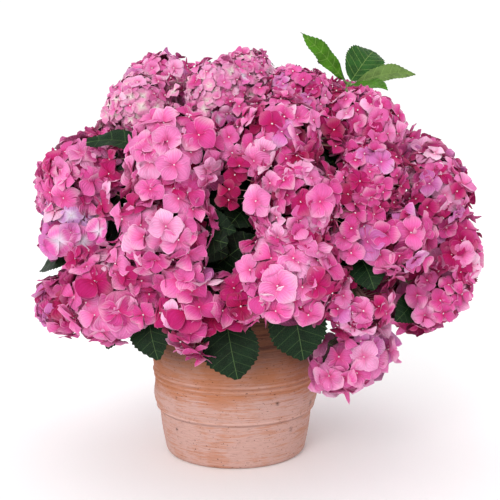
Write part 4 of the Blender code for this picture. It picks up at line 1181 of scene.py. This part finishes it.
def grow_stems(leaves, stalks, rays):
    """Green stems from the knuckles into the heads, rays that spread from them and a stalk to each floret."""
    heads = head_places()
    stems = np.array([head["stem"] for head in heads] + [shoot_stem()])
    points, faces = tubes(stems, np.linspace(0.0031, 0.0023, STEM_POINTS), 8)
    green = mottled("green_stem_skin", leaves.stem, np.array(leaves.stem) * 0.6, 0.008, Roughness=0.5)
    add_piece("flower_stems", [(points, faces, None)], green)
    shapes = []
    for pairs, radii, sides, bow in ((rays, (0.0014, 0.0012, 0.0010), 4, 0.10),
                                     (stalks, (0.0007, 0.0006, 0.0006), 3, 0.12)):
        starts = np.concatenate([pair[0] for pair in pairs])
        ends = np.concatenate([pair[1] for pair in pairs])
        sideways = side_axes(ends - starts)[0] * np.linalg.norm(ends - starts, axis=-1, keepdims=True)
        paths = curve_points(starts, (starts + ends) / 2.0 + sideways * bow, ends, 3)
        shapes.append((*tubes(paths, np.array(radii), sides), None))
    pink = mottled("pink_stalk_skin", leaves.stalk, np.array(leaves.stalk) * 0.7, 0.006, Roughness=0.55)
    add_piece("floret_stalks", shapes, pink)


def solid_corners(name):
    """The corners of a CAD node's mesh."""
    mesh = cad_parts[name].data
    corners = np.empty(len(mesh.vertices) * 3)
    mesh.vertices.foreach_get("co", corners)
    return corners.reshape(-1, 3)


def turned(step, degrees):
    """A step turned about the Y axis, to the right at its upper end."""
    angle = math.radians(degrees)
    return np.array([step[0] * math.cos(angle) + step[2] * math.sin(angle), step[1],
                     step[2] * math.cos(angle) - step[0] * math.sin(angle)])


def leaves_of_solids(heads):
    """Root, tip, facing, width share and kind of each leaf that a solid has, and its part clear of florets.

    A solid has a leaf if the leaf's tip is one of its corners. Leaves in view turn about their tip; the dark
    ones on the viewer's side are tucked back.
    """
    found = []
    shoot = LEAFY_SHOOT[0]
    wanted = {head["name"]: [] for head in heads}
    root = crown_point(*LEAFY_SHOOT[1:]) - np.array([0.0, 0.0, SHOOT_ROOT_DEPTH])
    wanted[shoot] = [(root, crown_point(*row[:3]), np.array(row[4]), row[3], row[5], None)
                     for row in SHOOT_LEAVES]
    for head in heads:
        under = head["middle"] - head["axis"] * head["radius"] * LEAF_ROOT_DEPTH
        for row in LEAVES_IN_VIEW:
            if row[0] != head["name"]:
                continue
            facing = unit(np.array(VIEWER) - head["middle"]) + 0.6 * head["axis"]
            facing = np.array(LEVEL_FACING) if row[0] in LEVEL_LEAVES else facing
            tip = crown_point(*row[1:4])
            wanted[head["name"]].append((under, tip, facing, row[7], row[8], row[4:6], row[6]))
        first, second = side_axes(head["axis"])
        lower = head["stem"][2]
        for k, (turn, lean, length) in enumerate(head["leaf_draws"]):
            turn = head["leaf_angle"] + k * math.pi + turn + (math.pi / 2.0 if k > 1 else 0.0)
            spread = first * math.cos(turn) + second * math.sin(turn)
            start = lower if k > 1 else under
            tip = start + unit(spread + head["axis"] * lean) * length
            wanted[head["name"]].append((start, tip, head["axis"], 0.0, "dark", None))
    for name, rows in wanted.items():
        corners = solid_corners(name)
        for start, tip, facing, width, kind, clear, *turn in rows:
            for share in LEAF_TRIES:
                place = start + (tip - start) * share
                if np.linalg.norm(corners - place, axis=1).min() < CORNER_MATCH:
                    if kind == "dark" and (name == shoot or not width and place[1] < 0.0):
                        place = start + (place - start) * TUCK
                    root = place + turned(start - place, turn[0] if turn else 0.0)
                    found.append((root, place, facing, width, kind, clear))
                    break
    return found


def inner_leaves(heads, draw):
    """Further leaves down each stem, by the same rule, that end inside the crown behind the florets.

    The leafy shoot has more of them, and they reach further, because no florets close the crown over it.
    """
    found = []
    stems = [(head["stem"], head["axis"], *INNER_LEAVES) for head in heads]
    stems.append((shoot_stem(), unit(crown_point(*LEAFY_SHOOT[1:]) - AXIS_ROOT), *SHOOT_INNER_LEAVES))
    for stem, axis, count, farthest in stems:
        first, second = side_axes(axis)
        for k in range(count):
            turn = draw.uniform(0.0, 2.0 * math.pi)
            start = stem[1 + k % 5]
            spread = first * math.cos(turn) + second * math.sin(turn)
            tip = start + unit(spread + axis * draw.uniform(0.0, 0.6)) * draw.uniform(0.080, 0.115)
            if reach_of(tip) < farthest and tip[2] > SOIL_TOP + 0.02:
                found.append((start, tip, axis, 0.0, "dark", None))
    return found


# Kinds of leaf: how far the tip is drawn in, and how strongly the side veins show
LEAF_KINDS = {"dark": (0.12, 0.42), "middle": (0.38, 0.42), "fresh": (0.70, 0.50), "shoot": (0.05, 0.90),
              "pale": (0.70, 0.60)}
LEAF_STEPS = 34
LEAF_COLUMNS = np.linspace(-1.0, 1.0, 7)


def leaf_blades(roots, tips, outwards, widths, point, settings, draw):
    """Toothed leaf blades, quilted between their side veins.

    At a share b of its length a blade is wide as the sine of pi times b to the power 1.08, itself to the
    power 0.60, drawn in over its last third by a point share; every second row stands out as a tooth. It
    arches up towards its tip, folds up along the midrib, and swells between side veins, which leave the
    midrib evenly and run forward. Returns points, marks (vein phase, distance from the midrib, chance) and
    the path of each leaf's stalk below its midrib.
    """
    count = len(roots)
    along = tips - roots
    length = np.linalg.norm(along, axis=-1, keepdims=True)
    forward = along / length
    up = side_axes(forward, outwards)[0]
    side = np.cross(up, forward)
    rows = np.linspace(0.012, 0.985, LEAF_STEPS)
    b = np.concatenate(([0.0], np.repeat(rows, len(LEAF_COLUMNS)), [1.0]))
    v = np.concatenate(([0.0], np.tile(LEAF_COLUMNS, LEAF_STEPS), [0.0]))
    tooth = np.concatenate(([0.0], np.repeat(np.arange(LEAF_STEPS) % 2, len(LEAF_COLUMNS)), [0.0]))
    edge = np.abs(v) > 0.99
    taper = 1.0 - point * ((b - 0.70) / 0.30).clip(0.0) ** 1.6
    outline = np.sin(math.pi * b ** 1.08).clip(0.0) ** 0.60 * taper
    outline = outline * (1.0 + edge * (tooth - 0.5) * settings.tooth * 2.0)
    widest = widths[:, None] * length / 2.0
    half = widest * outline
    x = 0.10 + 0.90 * (b + edge * tooth * 0.014).clip(0.0, 1.0)
    y = half * v
    phase = settings.veins * (b - 0.62 * np.abs(y) / length)
    puff = np.abs(np.sin(math.pi * phase)) ** 0.8 * np.sin(math.pi * np.abs(v) ** 0.6).clip(0.0)
    arch = draw.uniform(0.05, 0.11, (count, 1)) * np.sin(math.pi * x ** 1.4)
    rim = draw.uniform(0.006, 0.020, (count, 1)) * np.sin(draw.uniform(0, 6.3, (count, 1)) + 16.0 * b) * v * v
    twist = draw.normal(0.0, 0.05, (count, 1)) * v * b
    fold = draw.uniform(0.05, 0.22, (count, 1))
    z = length * (arch + 0.011 * puff + rim + twist * 0.4) + half * np.abs(v) * fold
    points = (roots[:, None] + along[:, None] * x[..., None] + side[:, None] * y[..., None]
              + up[:, None] * z[..., None])
    chance = draw.uniform(0.0, 1.0, (count, 1))
    marks = np.stack(np.broadcast_arrays(phase, np.abs(y) / widest, chance), axis=-1)
    ribs = np.stack([roots + along * t - up * (length * 0.004) for t in (0.0, 0.06, 0.10)], axis=1)
    return points, marks, ribs


def grow_leaves(settings):
    """All leaves, in a piece for each green, with their leaf stalks."""
    draw = np.random.default_rng(LOOKS_SEED + 1)
    heads = head_places()
    leaves = leaves_of_solids(heads) + inner_leaves(heads, draw)
    faces = blade_faces(LEAF_STEPS, len(LEAF_COLUMNS))
    stalks = []
    for kind, (point, veined) in LEAF_KINDS.items():
        some = [leaf for leaf in leaves if leaf[4] == kind]
        roots, tips, outwards = (np.array([leaf[i] for leaf in some]) for i in range(3))
        widths = np.array([leaf[3] or settings.width for leaf in some])
        points, marks, ribs = leaf_blades(roots, tips, outwards, widths, point, settings, draw)
        stalks.append(ribs)
        vein = settings.vein if kind in ("dark", "middle") else settings.young_vein
        tissue = leaf_tissue(kind, getattr(settings, kind), vein, veined)
        replaced = (LEAFY_SHOOT[0],) if kind == "shoot" else ()
        add_piece(f"leaves_{kind}", [(points, faces, marks)], tissue, replaced)
    points, stalk_faces = tubes(np.concatenate(stalks), np.array([0.0022, 0.0018, 0.0012]), 6)
    stalk = mottled("leaf_stalk_skin", settings.stem, np.array(settings.stem) * 0.6, 0.006, Roughness=0.5)
    add_piece("leaf_stalks", [(points, stalk_faces, None)], stalk)


def add_lamp(name, place, target, strength, spread):
    """A distant lamp that shines from a place at a target, as wide in the sky as its spread in degrees."""
    lamp = bpy.data.lights.new(name, "SUN")
    lamp.angle = math.radians(spread)
    lamp.energy = strength
    item = bpy.data.objects.new(name, lamp)
    item.location = place
    item.rotation_euler = (target - item.location).to_track_quat("-Z", "Y").to_euler()
    bpy.context.scene.collection.objects.link(item)


def set_stage(stage):
    """Floor, sky, lamp and the camera at the photograph's viewing angle."""
    low, high = CAD_BOX
    middle = (low + high) / 2.0
    angle = np.linspace(0.0, 2.0 * math.pi, FLOOR_SIDES, endpoint=False)
    ring = np.stack([np.cos(angle), np.sin(angle), np.zeros(FLOOR_SIDES)], axis=-1) * stage.floor
    mesh = bpy.data.meshes.new("studio_floor")
    mesh.from_pydata(ring.tolist(), [], [tuple(range(FLOOR_SIDES))])
    mesh.update()
    floor = bpy.data.objects.new("studio_floor", mesh)
    bpy.context.scene.collection.objects.link(floor)
    shaded = np.array(stage.floor_colour) * 0.99
    mesh.materials.append(mottled("matt_paper", stage.floor_colour, shaded, 0.003, Roughness=0.9,
                                  Specular_IOR_Level=0.1))
    world = bpy.data.worlds.new("even_sky")
    world.use_nodes = True
    sky = world.node_tree.nodes["Background"]
    sky.inputs["Color"].default_value = rgba(linear("#ffffff"))
    sky.inputs["Strength"].default_value = stage.sky
    bpy.context.scene.world = world
    add_lamp("key_lamp", KEY_PLACE, middle, stage.key, stage.key_spread)
    camera = bpy.data.cameras.new("camera")
    camera.lens = stage.lens
    camera.sensor_width = 36.0
    item = bpy.data.objects.new("camera", camera)
    item.location = (stage.camera_side, -stage.camera_away, stage.camera_height)
    item.rotation_euler = (math.radians(90.0 - stage.pitch), 0.0, 0.0)
    bpy.context.scene.collection.objects.link(item)
    bpy.context.scene.camera = item
    bpy.context.scene.view_settings.view_transform = "Standard"


class PLANT_OT_pot(Operator):
    """Builds the clay pot."""

    bl_idname = "plant.pot"
    bl_label = "Clay pot"

    def execute(self, context):
        turn_pot(context.scene.plant.pot)
        return {"FINISHED"}


class PLANT_OT_soil(Operator):
    """Builds the soil in the pot."""

    bl_idname = "plant.soil"
    bl_label = "Soil"

    def execute(self, context):
        fill_soil(context.scene.plant.pot)
        return {"FINISHED"}


class PLANT_OT_canes(Operator):
    """Builds the woody canes and the stub that they rise from."""

    bl_idname = "plant.canes"
    bl_label = "Canes"

    def execute(self, context):
        grow_canes(context.scene.plant.leaves)
        return {"FINISHED"}


class PLANT_OT_flowers(Operator):
    """Builds the florets of all flower heads and the stems and stalks that carry them."""

    bl_idname = "plant.flowers"
    bl_label = "Flowers"

    def execute(self, context):
        plant = context.scene.plant
        grow_stems(plant.leaves, *open_florets(plant.flowers))
        return {"FINISHED"}


class PLANT_OT_leaves(Operator):
    """Builds the leaves."""

    bl_idname = "plant.leaves"
    bl_label = "Leaves"

    def execute(self, context):
        grow_leaves(context.scene.plant.leaves)
        return {"FINISHED"}


class PLANT_OT_stage(Operator):
    """Sets the floor, the lights and the camera."""

    bl_idname = "plant.stage"
    bl_label = "Stage"

    def execute(self, context):
        set_stage(context.scene.plant.stage)
        return {"FINISHED"}


class PLANT_PT_panel(Panel):
    """The plant's settings and its builders."""

    bl_idname = "PLANT_PT_panel"
    bl_label = "Potted hydrangea"
    bl_space_type = "VIEW_3D"
    bl_region_type = "UI"
    bl_category = "Plant"

    def draw(self, context):
        plant = context.scene.plant
        groups = (("plant.pot", plant.pot), ("plant.soil", None), ("plant.canes", None),
                  ("plant.flowers", plant.flowers), ("plant.leaves", plant.leaves),
                  ("plant.stage", plant.stage))
        for operator, settings in groups:
            box = self.layout.box()
            box.operator(operator)
            for name in settings.__annotations__ if settings else ():
                box.prop(settings, name)


CLASSES = (PotSettings, FlowerSettings, LeafSettings, StageSettings, PlantSettings, PLANT_OT_pot,
           PLANT_OT_soil, PLANT_OT_canes, PLANT_OT_flowers, PLANT_OT_leaves, PLANT_OT_stage, PLANT_PT_panel)


def register():
    """Adds the classes and the scene's settings."""
    for item in CLASSES:
        bpy.utils.register_class(item)
    bpy.types.Scene.plant = PointerProperty(type=PlantSettings)


def unregister():
    """Takes them out again."""
    del bpy.types.Scene.plant
    for item in reversed(CLASSES):
        bpy.utils.unregister_class(item)


def main():
    """Builds everything in order."""
    register()
    bpy.ops.plant.pot()
    bpy.ops.plant.soil()
    bpy.ops.plant.canes()
    bpy.ops.plant.flowers()
    bpy.ops.plant.leaves()
    bpy.ops.plant.stage()


if __name__ == "__main__":
    main()
